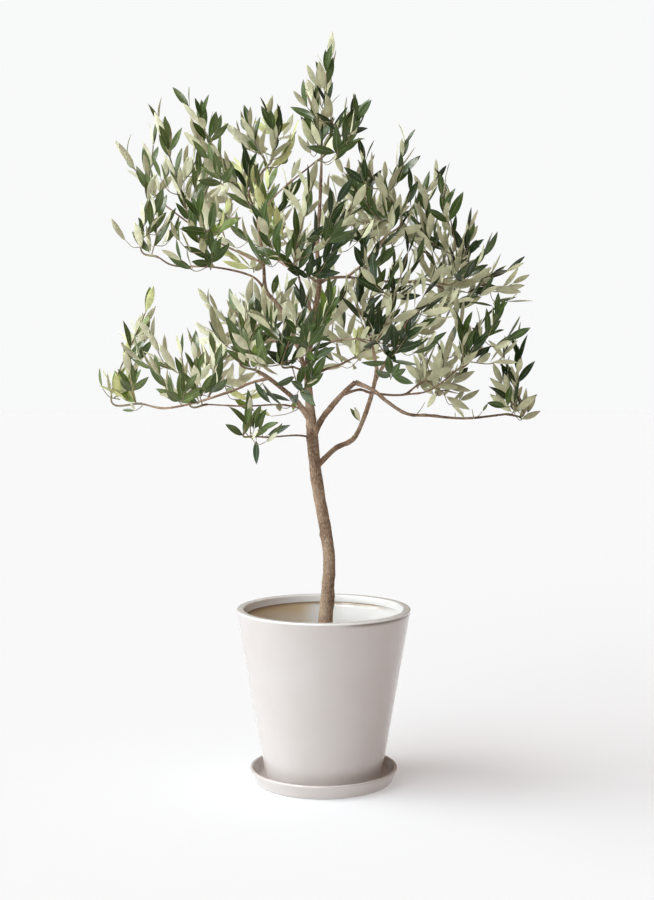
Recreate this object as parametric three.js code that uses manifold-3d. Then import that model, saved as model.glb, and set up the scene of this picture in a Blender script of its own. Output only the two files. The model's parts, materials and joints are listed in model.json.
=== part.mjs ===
// A young olive tree in a tapered, glazed pot that stands in its saucer.
// Millimetres, +Z up, the front towards -Y. The origin is the middle of the saucer's flat underside.
import * as THREE from 'three';
import { mergeVertices } from 'three/addons/utils/BufferGeometryUtils.js';
import Module from 'manifold-3d';

const wasm = await Module();
wasm.setup();

// Driving dimensions: everything else follows from these.
const GAP = 0.3; // between pieces that touch
const FINEST = 0.005; // slivers finer than this are closed up after a cut or join
const ROUND_SEGMENTS = 24; // round the pot, the saucer and the soil
const ROUND_STEPS = 3; // along a rounded corner of their profile

const SAUCER = {
  baseRadius: 99,
  rimRadius: 106.1,
  height: 20.5,
  floor: 6,
  lip: 5, // thickness of the rounded rim
  cornerRadius: 3,
  flare: 1, // how far the wall leans out by the top of its lower corner
  lipLean: 0.5, // and how far the lip's inner side leans in
};

const POT = {
  rimRadius: 125,
  footRadius: 84,
  top: 249.9, // height of the rim above the ground
  wall: 11,
  floor: 11,
  rimRound: 4,
  collarHeight: 8, // the thicker band inside the rim
  collarStep: 2.4, // how far the wall lies back below that band
  uprightFoot: 22, // the last stretch above the foot, where the wall is steeper
  uprightRadius: 87,
  footRing: 9,
  footHollow: 2.5,
  drainRadius: 12,
  footEdge: 1.5, // the foot's bevelled outer edge
  rimLean: 0.5, // how far the rim's corner lies inside its full radius
  collarSlope: 2, // height over which the band steps back to the wall
};

const SOIL = {
  belowRim: 57,
  crown: 3, // how much higher the middle is
  crownRadius: 42,
};

const TREE = {
  trunkSides: 10,
  boughSides: 6,
  twiggySides: 5, // on a bough that starts thinner than slimBough
  slimBough: 7,
  trunkSteps: 2, // rings to each way-point
  boughSteps: 2,
};

// The trunk's way-points from the soil to its tip, and its thickness along them.
const trunkPath = [
  [0, 0, 0], // its height is the soil's
  [5, 0, 266],
  [8, 2, 316],
  [3, 4, 360],
  [-6, 4, 409],
  [-12, 2, 451],
  [-16, -2, 495],
  [-18, -3, 519],
  [-22, 2, 573],
  [-21, 6, 616],
  [-14, 4, 664],
  [-6, 0, 713],
  [-9, -3, 762],
  [-5, 2, 829],
  [-3, 4, 881],
];
const trunkThickness = [
  [0, 27], [0.03, 21.5], [0.09, 17.4], [0.42, 16.6], [0.5, 14.5], [0.58, 10.4], [1, 3.6],
];

// Each bough leaves its parent at one of the parent's way-points (fork), runs through its own
// way-points and tapers from the first thickness to the second.
const boughRows = {
  low_left: {
    from: 'trunk', fork: 7, thick: [11, 6.4],
    path: [[-30, -12, 536], [-42, -24, 551], [-76, -48, 580], [-92, -60, 590]],
  },
  low_left_reach: {
    from: 'low_left', fork: 3, thick: [5.2, 3.6],
    path: [
      [-102, -40, 573], [-125, -28, 563], [-163, -12, 550], [-191, 0, 542],
      [-228, 8, 536], [-259, 12, 542],
    ],
  },
  low_left_twig: {
    from: 'low_left', fork: 1, thick: [3.4, 2.6],
    path: [[-60, -42, 543], [-108, -68, 542], [-158, -86, 545]],
  },
  under_left: {
    from: 'trunk', fork: 6, thick: [3.2, 2.6],
    path: [[-39, -22, 499], [-75, -46, 498], [-99, -62, 500]],
  },
  low_right: {
    from: 'trunk', fork: 6, thick: [12, 8.4],
    path: [[-6, -13, 516], [8, -22, 536], [25, -32, 556], [44, -40, 574]],
  },
  low_right_reach: {
    from: 'low_right', fork: 4, thick: [8, 3.6],
    path: [
      [69, -46, 563], [90, -45, 546], [117, -38, 530], [148, -24, 527],
      [201, -2, 522], [262, 18, 527],
    ],
  },
  low_right_arm: {
    from: 'low_right', fork: 3, thick: [5.2, 3.6],
    path: [[50, -14, 563], [69, -6, 558], [112, 10, 555], [134, 22, 568]],
  },
  right_reach: {
    from: 'low_right_arm', fork: 3, thick: [3.4, 2.6],
    path: [[150, -10, 562], [186, -22, 590]],
  },
  rising_right: {
    from: 'trunk', fork: 5, thick: [9.4, 7.4],
    path: [[16, 18, 477], [42, 30, 490], [55, 32, 513], [65, 28, 541], [74, 20, 576], [76, 18, 592]],
  },
  rising_right_inner: {
    from: 'rising_right', fork: 6, thick: [6, 3.8],
    path: [[72, 10, 612], [68, 4, 630], [60, -4, 655]],
  },
  rising_right_outer: {
    from: 'rising_right', fork: 5, thick: [6.4, 3.8],
    path: [[88, 26, 600], [104, 34, 623], [124, 46, 664], [146, 54, 681]],
  },
  high_left: {
    from: 'trunk', fork: 8, thick: [9, 3.2],
    path: [
      [-38, -8, 628], [-60, -20, 676], [-80, -26, 702], [-84, -28, 740],
      [-93, -22, 805], [-104, -20, 838], [-86, -16, 866],
    ],
  },
  high_left_cross: {
    from: 'high_left', fork: 5, thick: [3.8, 2.6],
    path: [[-76, -30, 822], [-58, -38, 840], [-14, -50, 874]],
  },
  high_left_arm: {
    from: 'high_left', fork: 3, thick: [4.2, 2.8],
    path: [[-102, -40, 722], [-152, -50, 733], [-205, -46, 735], [-229, -42, 747]],
  },
  high_left_reach: {
    from: 'high_left', fork: 4, thick: [4.2, 2.6],
    path: [[-112, -18, 752], [-162, -4, 777], [-187, 6, 795], [-224, 18, 823]],
  },
  mid_right: {
    from: 'trunk', fork: 11, thick: [6, 3.6],
    path: [[8, 3, 720], [33, 10, 722], [69, 22, 718], [110, 30, 716], [144, 34, 719]],
  },
  mid_right_riser: {
    from: 'mid_right', fork: 2, thick: [4.4, 3.2],
    path: [[56, 2, 740], [70, -6, 758], [83, -10, 774]],
  },
  mid_right_reach: {
    from: 'mid_right', fork: 4, thick: [3.6, 2.6],
    path: [[136, 58, 716], [168, 84, 712]],
  },
  front_high: {
    from: 'trunk', fork: 10, thick: [5, 3.2],
    path: [[-22, -34, 686], [-30, -72, 704], [-34, -104, 720]],
  },
  front_low: {
    from: 'trunk', fork: 8, thick: [5.6, 3.4],
    path: [[-20, -34, 586], [-26, -72, 590], [-40, -106, 596]],
  },
  front_right: {
    from: 'trunk', fork: 9, thick: [5.2, 3.2],
    path: [[-4, -26, 624], [18, -66, 632], [42, -100, 634]],
  },
  back_low_left: {
    from: 'trunk', fork: 9, thick: [6, 3.4],
    path: [[-38, 36, 626], [-66, 84, 630], [-84, 128, 634]],
  },
  back_low_right: {
    from: 'trunk', fork: 8, thick: [6, 3.4],
    path: [[-4, 38, 588], [22, 92, 596], [44, 138, 606]],
  },
  back_high_left: {
    from: 'trunk', fork: 11, thick: [4.8, 3],
    path: [[-28, 32, 728], [-56, 76, 742], [-76, 118, 758]],
  },
  back_high_right: {
    from: 'trunk', fork: 12, thick: [4.6, 3],
    path: [[10, 30, 774], [40, 66, 786], [66, 104, 800]],
  },
};

// Each mass of foliage grows on one stem, from its bough's tip or, with fork, from one of the limb's
// way-points, to its own top. Spread is how far its leaves may stand from that stem.
const massRows = {
  top: { limb: 'trunk', tip: [9, 2, 1024], spread: 70, twigs: 5, seed: 600 },
  upper_right_front: { limb: 'high_left_cross', tip: [40, -76, 930], spread: 109, twigs: 5, seed: 202 },
  high_left_crest: { limb: 'high_left', tip: [-78, 12, 946], spread: 74, twigs: 6, seed: 183 },
  high_left_brush: { limb: 'high_left', fork: 5, tip: [-182, -68, 946], spread: 81, twigs: 6, seed: 646 },
  far_left_high: { limb: 'high_left_reach', tip: [-242, 26, 909], spread: 59, twigs: 3, seed: 644 },
  left_shoot: {
    limb: 'high_left_reach', fork: 3,
    tip: [-230, -11, 936], spread: 82, twigs: 6, seed: 742,
  },
  left_high_back: {
    limb: 'high_left_reach', fork: 2,
    tip: [-181, 104, 866], spread: 150, twigs: 5, seed: 825,
  },
  left_arm_end: { limb: 'high_left_arm', tip: [-240, -58, 822], spread: 64, twigs: 3, seed: 898 },
  left_arm_brush: {
    limb: 'high_left_arm', fork: 2,
    tip: [-178, -132, 790], spread: 128, twigs: 5, seed: 83,
  },
  low_left_end: { limb: 'low_left_reach', tip: [-252, 8, 674], spread: 66, twigs: 6, seed: 764 },
  low_left_mid: {
    limb: 'low_left_reach', fork: 3,
    tip: [-139, 77, 640], spread: 130, twigs: 6, seed: 355,
  },
  low_left_hem: { limb: 'low_left_twig', tip: [-192, -97, 613], spread: 116, twigs: 5, seed: 833 },
  low_left_crest: { limb: 'low_left', tip: [-101, -104, 671], spread: 150, twigs: 7, seed: 431 },
  under_left_end: { limb: 'under_left', tip: [-104, -96, 520], spread: 72, twigs: 3, seed: 714 },
  low_right_end: { limb: 'low_right_reach', tip: [259, 25, 605], spread: 84, twigs: 4, seed: 403 },
  right_low: { limb: 'low_right_arm', tip: [190, 68, 602], spread: 133, twigs: 7, seed: 586 },
  right_low_reach: { limb: 'right_reach', tip: [218, -35, 652], spread: 99, twigs: 5, seed: 695 },
  right_mid_reach: { limb: 'rising_right_outer', tip: [265, 64, 732], spread: 101, twigs: 6, seed: 324 },
  centre_low: { limb: 'trunk', fork: 9, tip: [6, 19, 712], spread: 142, twigs: 6, seed: 808 },
  centre_right: { limb: 'rising_right_inner', tip: [92, -49, 783], spread: 135, twigs: 6, seed: 760 },
  right_upper: { limb: 'mid_right', tip: [171, 17, 855], spread: 150, twigs: 6, seed: 203 },
  right_shoulder: { limb: 'mid_right_reach', tip: [194, 128, 763], spread: 114, twigs: 6, seed: 108 },
  right_crest: { limb: 'mid_right_riser', tip: [47, -49, 879], spread: 116, twigs: 6, seed: 165 },
  centre_high: { limb: 'trunk', fork: 12, tip: [60, 12, 846], spread: 130, twigs: 7, seed: 739 },
  centre_brush: { limb: 'front_high', tip: [-19, -156, 820], spread: 137, twigs: 7, seed: 294 },
  front_low_brush: { limb: 'front_low', tip: [-27, -194, 670], spread: 135, twigs: 6, seed: 221 },
  front_right_brush: { limb: 'front_right', tip: [108, -192, 743], spread: 148, twigs: 5, seed: 342 },
  back_left_brush: { limb: 'back_low_left', tip: [-113, 184, 687], spread: 122, twigs: 6, seed: 425 },
  back_right_brush: { limb: 'back_low_right', tip: [118, 211, 686], spread: 143, twigs: 5, seed: 831 },
  back_high_left_brush: {
    limb: 'back_high_left',
    tip: [-100, 189, 885], spread: 135, twigs: 6, seed: 221,
  },
  back_high_brush: { limb: 'back_high_right', tip: [65, 160, 862], spread: 150, twigs: 6, seed: 71 },
};

const TWIG = {
  stemThickness: [3.6, 2.2],
  sideThickness: [1.8, 1.6],
  open: 58, // degrees between a stem and its side twigs
  turn: 137.5, // degrees round the stem from one side twig to the next
  turnRange: 30, // and how much more that may be
  lift: 0.9, // how much a twig bends towards the light
  tipSpan: [0.06, 0.84], // where side twigs stand on a stem that leaves a bough's tip, as shares
  forkSpan: [0.18, 0.84], // and on a stem that leaves a limb's side
  stagger: 0.6, // how far a side twig may move up towards the next
  reach: 0.72, // a side twig's length as a share of its mass's spread
  range: [0.85, 1.15], // of its length and of its opening, as shares
  shorter: [1, 0.8, 0.6, 0.42], // shares of its length that are tried
  tested: [0.35, 0.7, 1], // where along it the room is tested
  stemBend: 0.35, // where the stem bends, as a share of its length
  clearance: 2.2, // between a twig and a limb that isn't its own
};

const LEAF = {
  length: 60,
  width: 16,
  thickness: 1.4,
  step: 48, // along a twig from one pair of leaves to the next
  first: 14, // from a twig's root to its first pair
  open: 50, // degrees between a leaf and its twig, at the root
  openTip: 24, // and at the twig's tip
  lift: 0.22,
  widest: 0.52, // where a leaf is widest, as a share of its length
  openRange: [0.8, 1.2], // shares of its opening and of its length
  lengthRange: [0.82, 1.12],
  taper: [1.04, 0.82], // and of its length at the twig's root and tip
  turnRange: 40, // how many degrees a pair may be further round
  rootDepth: 1, // how far the last pair stands from the twig's end
  tested: [0.2, 0.4, 0.6, 0.8, 1],
  clearance: 2.5,
  // A leaf that doesn't fit is tried these degrees further round and at this share of its opening.
  tries: [[0, 1], [0, 0.6], [45, 1], [-45, 1], [0, 0.3], [45, 0.5], [-45, 0.5]],
};

const SHADES = {
  glaze: '#e9e5dd',
  soil: '#4a3a2d',
  bark: '#8d775f',
  leaves: ['#6f7f58', '#7d8a66', '#5f7350'],
};

const up = new THREE.Vector3(0, 0, 1);
const degrees = Math.PI / 180;
const point = (row) => new THREE.Vector3(row[0], row[1], row[2]);
const mix = THREE.MathUtils.lerp;
const soilHeight = POT.top - SOIL.belowRim;

// Numbers from 0 to 1 that are the same on every run.
function draws(seed) {
  let state = seed;
  return () => {
    state = (state * 1664525 + 1013904223) % 4294967296;
    return state / 4294967296;
  };
}

const within = ([low, high], draw) => mix(low, high, draw());

// A value that changes evenly between the [share, value] pairs of a list.
function along(pairs, share) {
  const next = Math.max(1, pairs.findIndex(([at]) => at >= share));
  const [[from, low], [to, high]] = [pairs[next - 1], pairs[next]];
  return mix(low, high, (share - from) / (to - from));
}

// A closed tapered tube through points, with a radius and a ring of corners for each. Its first end
// is square to firstHeading, or else to the tube.
function tube(points, radii, sides, firstHeading) {
  const corners = [];
  const faces = [];
  let across = new THREE.Vector3(1, 0.2, 0.1);
  points.forEach((here, i) => {
    const ahead = points[Math.min(i + 1, points.length - 1)];
    const behind = points[Math.max(i - 1, 0)];
    const heading = i === 0 && firstHeading ? firstHeading : ahead.clone().sub(behind).normalize();
    across = across.clone().addScaledVector(heading, -across.dot(heading)).normalize();
    const beside = heading.clone().cross(across);
    for (let k = 0; k < sides; k++) {
      const angle = (2 * Math.PI * k) / sides;
      const corner = here.clone();
      corner.addScaledVector(across, radii[i] * Math.cos(angle));
      corner.addScaledVector(beside, radii[i] * Math.sin(angle));
      corners.push(corner);
    }
  });
  const last = (points.length - 1) * sides;
  for (let i = 0; i < last; i += sides) {
    for (let k = 0; k < sides; k++) {
      const next = (k + 1) % sides;
      faces.push([i + k, i + next, i + sides + next], [i + k, i + sides + next, i + sides + k]);
    }
  }
  for (let k = 1; k < sides - 1; k++) {
    faces.push([0, k + 1, k], [last, last + k, last + k + 1]);
  }
  return closed(corners, faces);
}

// A mesh from corners and the corner numbers of its triangles.
function closed(corners, faces) {
  const geometry = new THREE.BufferGeometry();
  const places = corners.flatMap((corner) => corner.toArray());
  geometry.setAttribute('position', new THREE.Float32BufferAttribute(places, 3));
  geometry.setIndex(faces.flat());
  return geometry;
}

function toSolid(geometry) {
  const bare = geometry.clone();
  bare.deleteAttribute('normal');
  bare.deleteAttribute('uv');
  const merged = mergeVertices(bare);
  const vertProperties = new Float32Array(merged.attributes.position.array);
  const triVerts = new Uint32Array(merged.index.array);
  return new wasm.Manifold(new wasm.Mesh({ numProp: 3, vertProperties, triVerts }));
}

function toGeometry(solid) {
  const mesh = solid.simplify(FINEST).getMesh();
  const geometry = new THREE.BufferGeometry();
  geometry.setAttribute('position', new THREE.BufferAttribute(mesh.vertProperties, 3));
  geometry.setIndex(new THREE.BufferAttribute(mesh.triVerts, 1));
  return geometry;
}

// A turned solid from a profile of straight stretches and rounded corners.
function turned(draw) {
  const profile = new THREE.Path();
  draw(profile);
  const geometry = new THREE.LatheGeometry(profile.getPoints(ROUND_STEPS), ROUND_SEGMENTS);
  geometry.rotateX(Math.PI / 2);
  return geometry;
}

// The pot's outer radius at a height: a straight taper that is steeper above the foot.
function potRadius(height) {
  const bend = SAUCER.floor + POT.uprightFoot;
  const inFoot = (height - SAUCER.floor) / POT.uprightFoot;
  if (height < bend) return mix(POT.footRadius, POT.uprightRadius, inFoot);
  return mix(POT.uprightRadius, POT.rimRadius, (height - bend) / (POT.top - bend));
}

const innerRadius = (height) => potRadius(height) - POT.wall - POT.collarStep;

function saucer() {
  const { baseRadius, rimRadius, height, floor, lip, cornerRadius, flare, lipLean } = SAUCER;
  const inner = rimRadius - lip;
  const floorRadius = baseRadius - lip;
  return turned((path) => {
    path.moveTo(0, 0);
    path.lineTo(baseRadius - cornerRadius, 0);
    path.quadraticCurveTo(baseRadius, 0, baseRadius + flare, cornerRadius);
    path.lineTo(rimRadius, height - lip / 2);
    path.quadraticCurveTo(rimRadius, height, rimRadius - lip / 2, height);
    path.quadraticCurveTo(inner, height, inner - lipLean, height - lip / 2);
    path.lineTo(floorRadius + cornerRadius, floor + cornerRadius);
    path.quadraticCurveTo(floorRadius, floor, floorRadius - cornerRadius, floor);
    path.lineTo(0, floor);
  });
}

function pot() {
  const { top, wall, floor, rimRound, rimLean, footRing, footHollow, footEdge, drainRadius } = POT;
  const foot = SAUCER.floor + GAP;
  const bend = SAUCER.floor + POT.uprightFoot;
  const rim = POT.rimRadius;
  const collar = top - POT.collarHeight;
  const below = collar - POT.collarSlope;
  const insideFloor = foot + floor;
  return turned((path) => {
    path.moveTo(drainRadius, foot + footHollow);
    path.lineTo(POT.footRadius - footRing, foot + footHollow);
    path.lineTo(POT.footRadius - footRing, foot);
    path.lineTo(POT.footRadius - footEdge, foot);
    path.lineTo(POT.footRadius, foot + footEdge);
    path.lineTo(POT.uprightRadius, bend);
    path.lineTo(rim - rimLean, top - rimRound);
    path.quadraticCurveTo(rim, top, rim - rimRound, top);
    path.lineTo(rim - wall + rimRound, top);
    path.quadraticCurveTo(rim - wall, top, potRadius(top - rimRound) - wall, top - rimRound);
    path.lineTo(potRadius(collar) - wall, collar);
    path.lineTo(innerRadius(below), below);
    path.lineTo(innerRadius(insideFloor), insideFloor);
    path.lineTo(drainRadius, insideFloor);
    path.lineTo(drainRadius, foot + footHollow);
  });
}

function soil() {
  const low = SAUCER.floor + 2 * GAP + POT.floor;
  const path = new THREE.Path();
  path.moveTo(0, low);
  path.lineTo(innerRadius(low) - GAP, low);
  path.lineTo(innerRadius(soilHeight - SOIL.crown) - GAP, soilHeight - SOIL.crown);
  path.lineTo(SOIL.crownRadius, soilHeight);
  path.lineTo(0, soilHeight);
  const geometry = new THREE.LatheGeometry(path.getPoints(1), ROUND_SEGMENTS);
  geometry.rotateX(Math.PI / 2);
  return geometry;
}

// The limbs: the trunk first, then each bough on its parent.
function limb(path, thickness, sides, steps) {
  const curve = new THREE.CatmullRomCurve3(path, false, 'catmullrom', 0.5);
  const count = (path.length - 1) * steps;
  const points = curve.getPoints(count);
  const radii = points.map((_, i) => along(thickness, i / count) / 2);
  return { path, points, radii, sides, heading: curve.getTangent(1) };
}

const limbs = {};
const foot = new THREE.Vector3(trunkPath[0][0], trunkPath[0][1], soilHeight + GAP);
const trunkPoints = [foot, ...trunkPath.slice(1).map(point)];
limbs.trunk = limb(trunkPoints, trunkThickness, TREE.trunkSides, TREE.trunkSteps);
for (const [name, { from, fork, path, thick }] of Object.entries(boughRows)) {
  const start = limbs[from].path[fork];
  const sides = thick[0] < TREE.slimBough ? TREE.twiggySides : TREE.boughSides;
  limbs[name] = limb([start, ...path.map(point)], [[0, thick[0]], [1, thick[1]]], sides, TREE.boughSteps);
  limbs[name].from = from;
}

const grown = ({ points, radii, sides }) => tube(points, radii.map((r) => r + GAP), sides);

// The straight stretches of all limbs, for the clearance of twigs and leaves.
const stretches = Object.values(limbs).flatMap(({ points, radii }) =>
  radii.slice(0, -1).map((radius, i) => ({ line: new THREE.Line3(points[i], points[i + 1]), radius })));

function limbDistance(place) {
  const nearest = new THREE.Vector3();
  let least = Infinity;
  for (const { line, radius } of stretches) {
    line.closestPointToPoint(place, true, nearest);
    least = Math.min(least, nearest.distanceTo(place) - radius);
  }
  return least;
}

// The nearest points of two straight stems.
function nearestPair(one, other) {
  const a = one.line.delta(new THREE.Vector3());
  const b = other.line.delta(new THREE.Vector3());
  const between = one.line.start.clone().sub(other.line.start);
  const [aa, bb, ab, ar, br] = [a.dot(a), b.dot(b), a.dot(b), a.dot(between), b.dot(between)];
  let s = THREE.MathUtils.clamp((ab * br - ar * bb) / (aa * bb - ab * ab), 0, 1);
  const t = THREE.MathUtils.clamp((ab * s + br) / bb, 0, 1);
  s = THREE.MathUtils.clamp((ab * t - ar) / aa, 0, 1);
  return [one.line.at(s, new THREE.Vector3()), other.line.at(t, new THREE.Vector3())];
}

// Each mass has the room within its spread, up to the planes midway to its neighbours' stems.
const masses = Object.entries(massRows).map(([name, row]) => {
  const parent = limbs[row.limb];
  const atTip = row.fork === undefined;
  const pastTip = parent.points.at(-1).clone().addScaledVector(parent.heading, GAP);
  const start = atTip ? pastTip : parent.path[row.fork];
  const tip = point(row.tip);
  const heading = atTip ? parent.heading : tip.clone().sub(start).normalize();
  return { ...row, name, parent, atTip, heading, line: new THREE.Line3(start, tip) };
});
for (const mass of masses) {
  mass.walls = masses.filter((other) => other !== mass).map((other) => {
    const [mine, theirs] = nearestPair(mass, other);
    const inward = mine.clone().sub(theirs).normalize();
    return { inward, middle: mine.add(theirs).multiplyScalar(0.5) };
  });
}

// How far a place lies inside a mass's room, or less than 0 outside it.
function roomAt(mass, place) {
  const nearest = mass.line.closestPointToPoint(place, true, new THREE.Vector3());
  let least = mass.spread - nearest.distanceTo(place);
  for (const { inward, middle } of mass.walls) {
    least = Math.min(least, inward.dot(place) - inward.dot(middle));
  }
  return least;
}

// A twig is two straight stretches of like length, the second bent towards the light.
function twigPoint(twig, share) {
  const [from, to] = share < 0.5 ? [twig.start, twig.middle] : [twig.middle, twig.end];
  return from.clone().lerp(to, share < 0.5 ? 2 * share : 2 * share - 1);
}

function twigHeading(twig, share) {
  const early = twig.middle.clone().sub(twig.start);
  const late = twig.end.clone().sub(twig.middle);
  return early.lerp(late, share).normalize();
}

function sideOf(heading, angle) {
  const level = new THREE.Vector3(heading.y, -heading.x, 0.001).normalize();
  const across = level.addScaledVector(heading, -level.dot(heading)).normalize();
  const beside = heading.clone().cross(across);
  return across.multiplyScalar(Math.cos(angle)).addScaledVector(beside, Math.sin(angle));
}

function twigFits(mass, twig) {
  return TWIG.tested.every((share) => {
    const place = twigPoint(twig, share);
    return roomAt(mass, place) > TWIG.clearance && limbDistance(place) > TWIG.clearance;
  });
}

// The side twigs of a mass, each shortened until it keeps to the mass's room.
function sideTwigs(mass, stem) {
  const draw = draws(mass.seed);
  const first = 360 * draw();
  const [low, high] = mass.atTip ? TWIG.tipSpan : TWIG.forkSpan;
  const twigs = [];
  for (let k = 0; k < mass.twigs; k++) {
    const share = mix(low, high, (k + TWIG.stagger * draw()) / mass.twigs);
    const start = twigPoint(stem, share);
    const heading = twigHeading(stem, share);
    const side = sideOf(heading, (first + TWIG.turn * k + TWIG.turnRange * draw()) * degrees);
    const open = TWIG.open * within(TWIG.range, draw) * degrees;
    const out = heading.clone().multiplyScalar(Math.cos(open)).addScaledVector(side, Math.sin(open));
    const bent = out.clone().addScaledVector(up, TWIG.lift).normalize();
    const full = mass.spread * TWIG.reach * within(TWIG.range, draw);
    for (const shorter of TWIG.shorter) {
      const length = full * shorter;
      const middle = start.clone().addScaledVector(out, length / 2);
      const end = middle.clone().addScaledVector(bent, length / 2);
      const twig = { start, middle, end, length, thickness: TWIG.sideThickness };
      if (twigFits(mass, twig)) {
        twigs.push(twig);
        break;
      }
    }
  }
  return twigs;
}

// A leaf is a flat lance shape with a ridge along its upper side. Its root is on the twig's middle line.
function leafAt(root, heading, face, length) {
  const across = heading.clone().cross(face).normalize();
  const normal = across.clone().cross(heading);
  const belly = root.clone().addScaledVector(heading, length * LEAF.widest);
  const half = (LEAF.width * length) / LEAF.length / 2;
  const at = (middle, way, distance) => middle.clone().addScaledVector(way, distance);
  return {
    root,
    tip: at(root, heading, length),
    left: at(belly, across, half),
    right: at(belly, across, -half),
    ridge: at(belly, normal, LEAF.thickness),
    half,
  };
}

function leafFits(mass, leaf) {
  const corners = [leaf.tip, leaf.left, leaf.right];
  const inside = corners.every((corner) => roomAt(mass, corner) > LEAF.thickness);
  return inside && LEAF.tested.every((share) => {
    const place = leaf.root.clone().lerp(leaf.tip, share);
    const width = leaf.half * Math.min(share / LEAF.widest, (1 - share) / (1 - LEAF.widest));
    return limbDistance(place) > width + LEAF.clearance;
  });
}

// Pairs of leaves stand opposite each other, each pair a quarter turn on from the last.
function leavesOn(mass, twig, draw) {
  const count = Math.max(1, Math.floor((twig.length - LEAF.first) / LEAF.step) + 1);
  const leaves = [];
  for (let n = 0; n < count; n++) {
    const share = (twig.length - (count - 1 - n) * LEAF.step - LEAF.rootDepth) / twig.length;
    const root = twigPoint(twig, share);
    const heading = twigHeading(twig, share);
    const turn = 90 * n + LEAF.turnRange * draw();
    for (const half of [0, 180]) {
      const open = mix(LEAF.open, LEAF.openTip, share) * within(LEAF.openRange, draw) * degrees;
      const length = LEAF.length * within(LEAF.lengthRange, draw) * mix(...LEAF.taper, share);
      const leaf = LEAF.tries.map(([more, part]) => {
        const side = sideOf(heading, (turn + half + more) * degrees);
        const out = heading.clone().multiplyScalar(Math.cos(part * open));
        out.addScaledVector(side, Math.sin(part * open)).addScaledVector(up, LEAF.lift).normalize();
        return leafAt(root, out, heading, length);
      }).find((one) => leafFits(mass, one));
      if (leaf) leaves.push(leaf);
    }
  }
  return leaves;
}

function leafSolid({ root, tip, left, right, ridge }) {
  const faces = [[0, 2, 4], [0, 4, 3], [1, 4, 2], [1, 3, 4], [0, 3, 2], [1, 2, 3]];
  return toSolid(closed([root, tip, left, right, ridge], faces));
}

function twigSolid({ start, middle, end, thickness: [thick, thin] }) {
  return toSolid(tube([start, middle, end], [thick / 2, (thick + thin) / 4, thin / 2], 3));
}

// The stem leaves its bough along the bough's own heading and bends to the mass's tip.
function stemOf(mass) {
  const { start, end } = mass.line;
  const length = start.distanceTo(end);
  const middle = start.clone().addScaledVector(mass.heading, TWIG.stemBend * length);
  return { start, middle, end, length, thickness: TWIG.stemThickness };
}

// A scrap that a cut leaves loose is dropped.
function largest(solid) {
  return solid.decompose().reduce((most, body) => (body.volume() > most.volume() ? body : most));
}

// A side twig is left out where fewer than two of its leaves fit.
function foliage(mass) {
  const stem = stemOf(mass);
  const draw = draws(mass.seed + 1000);
  const twigs = [stem, ...sideTwigs(mass, stem)];
  const sprays = twigs.map((twig) => ({ twig, leaves: leavesOn(mass, twig, draw) }));
  const leafy = sprays.filter(({ twig, leaves }) => twig === stem || leaves.length > 1);
  const pieces = leafy.flatMap(({ twig, leaves }) => [twigSolid(twig), ...leaves.map(leafSolid)]);
  const solid = wasm.Manifold.union(pieces);
  return mass.atTip ? solid : largest(solid.subtract(toSolid(grown(mass.parent))));
}

function finish(colour, roughness) {
  return new THREE.MeshStandardMaterial({ color: colour, roughness, metalness: 0 });
}

const tree = new THREE.Group();
tree.name = 'potted_olive_tree';

function add(name, geometry, material) {
  const mesh = new THREE.Mesh(geometry, material);
  mesh.name = name;
  tree.add(mesh);
}

add('saucer', saucer(), finish(SHADES.glaze, 0.25));
add('pot', pot(), finish(SHADES.glaze, 0.25));
add('soil', soil(), finish(SHADES.soil, 0.95));
for (const [name, limbShape] of Object.entries(limbs)) {
  const { points, radii, sides, from } = limbShape;
  let solid = toSolid(tube(points, radii, sides, from ? undefined : up));
  if (from) solid = solid.subtract(toSolid(grown(limbs[from])));
  add(from ? `bough_${name}` : name, toGeometry(solid), finish(SHADES.bark, 0.85));
}
masses.forEach((mass, i) => {
  const shade = SHADES.leaves[i % SHADES.leaves.length];
  add(`foliage_${mass.name}`, toGeometry(foliage(mass)), finish(shade, 0.6));
});

export default tree;
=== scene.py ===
# A young olive tree in a tapered, glazed pot that stands in its saucer.
# The tree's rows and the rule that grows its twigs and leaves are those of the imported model,
# carried on here to finer twigs and to leaves of life size.
import json
import math
import bpy
import numpy as np
from mathutils import Matrix, Vector, noise

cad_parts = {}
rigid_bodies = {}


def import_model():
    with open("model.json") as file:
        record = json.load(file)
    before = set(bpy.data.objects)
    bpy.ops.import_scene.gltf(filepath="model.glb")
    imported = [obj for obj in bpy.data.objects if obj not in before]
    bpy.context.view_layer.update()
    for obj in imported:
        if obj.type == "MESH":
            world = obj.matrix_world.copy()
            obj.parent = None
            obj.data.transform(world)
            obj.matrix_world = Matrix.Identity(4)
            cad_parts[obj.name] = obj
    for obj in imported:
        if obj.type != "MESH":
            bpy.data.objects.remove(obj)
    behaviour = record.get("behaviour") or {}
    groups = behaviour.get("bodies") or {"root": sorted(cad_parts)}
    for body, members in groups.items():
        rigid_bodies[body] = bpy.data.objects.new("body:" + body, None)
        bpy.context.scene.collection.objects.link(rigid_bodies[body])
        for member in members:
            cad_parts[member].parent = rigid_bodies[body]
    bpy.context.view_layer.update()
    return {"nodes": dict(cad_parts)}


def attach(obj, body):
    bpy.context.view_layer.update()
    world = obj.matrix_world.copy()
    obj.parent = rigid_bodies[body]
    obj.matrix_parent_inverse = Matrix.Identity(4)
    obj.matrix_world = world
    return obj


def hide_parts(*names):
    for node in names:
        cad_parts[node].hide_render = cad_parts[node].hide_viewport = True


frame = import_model()
mm = 0.001  # pot and tree are written in millimetres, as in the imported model
print("frame loaded:", len(frame["nodes"]), "nodes")


# Meshes, nodes and finishes

def mix(low, high, share):
    return low + (high - low) * share


def newObject(name, data):
    made = bpy.data.objects.new(name, data)
    bpy.context.collection.objects.link(made)
    return made


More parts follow.
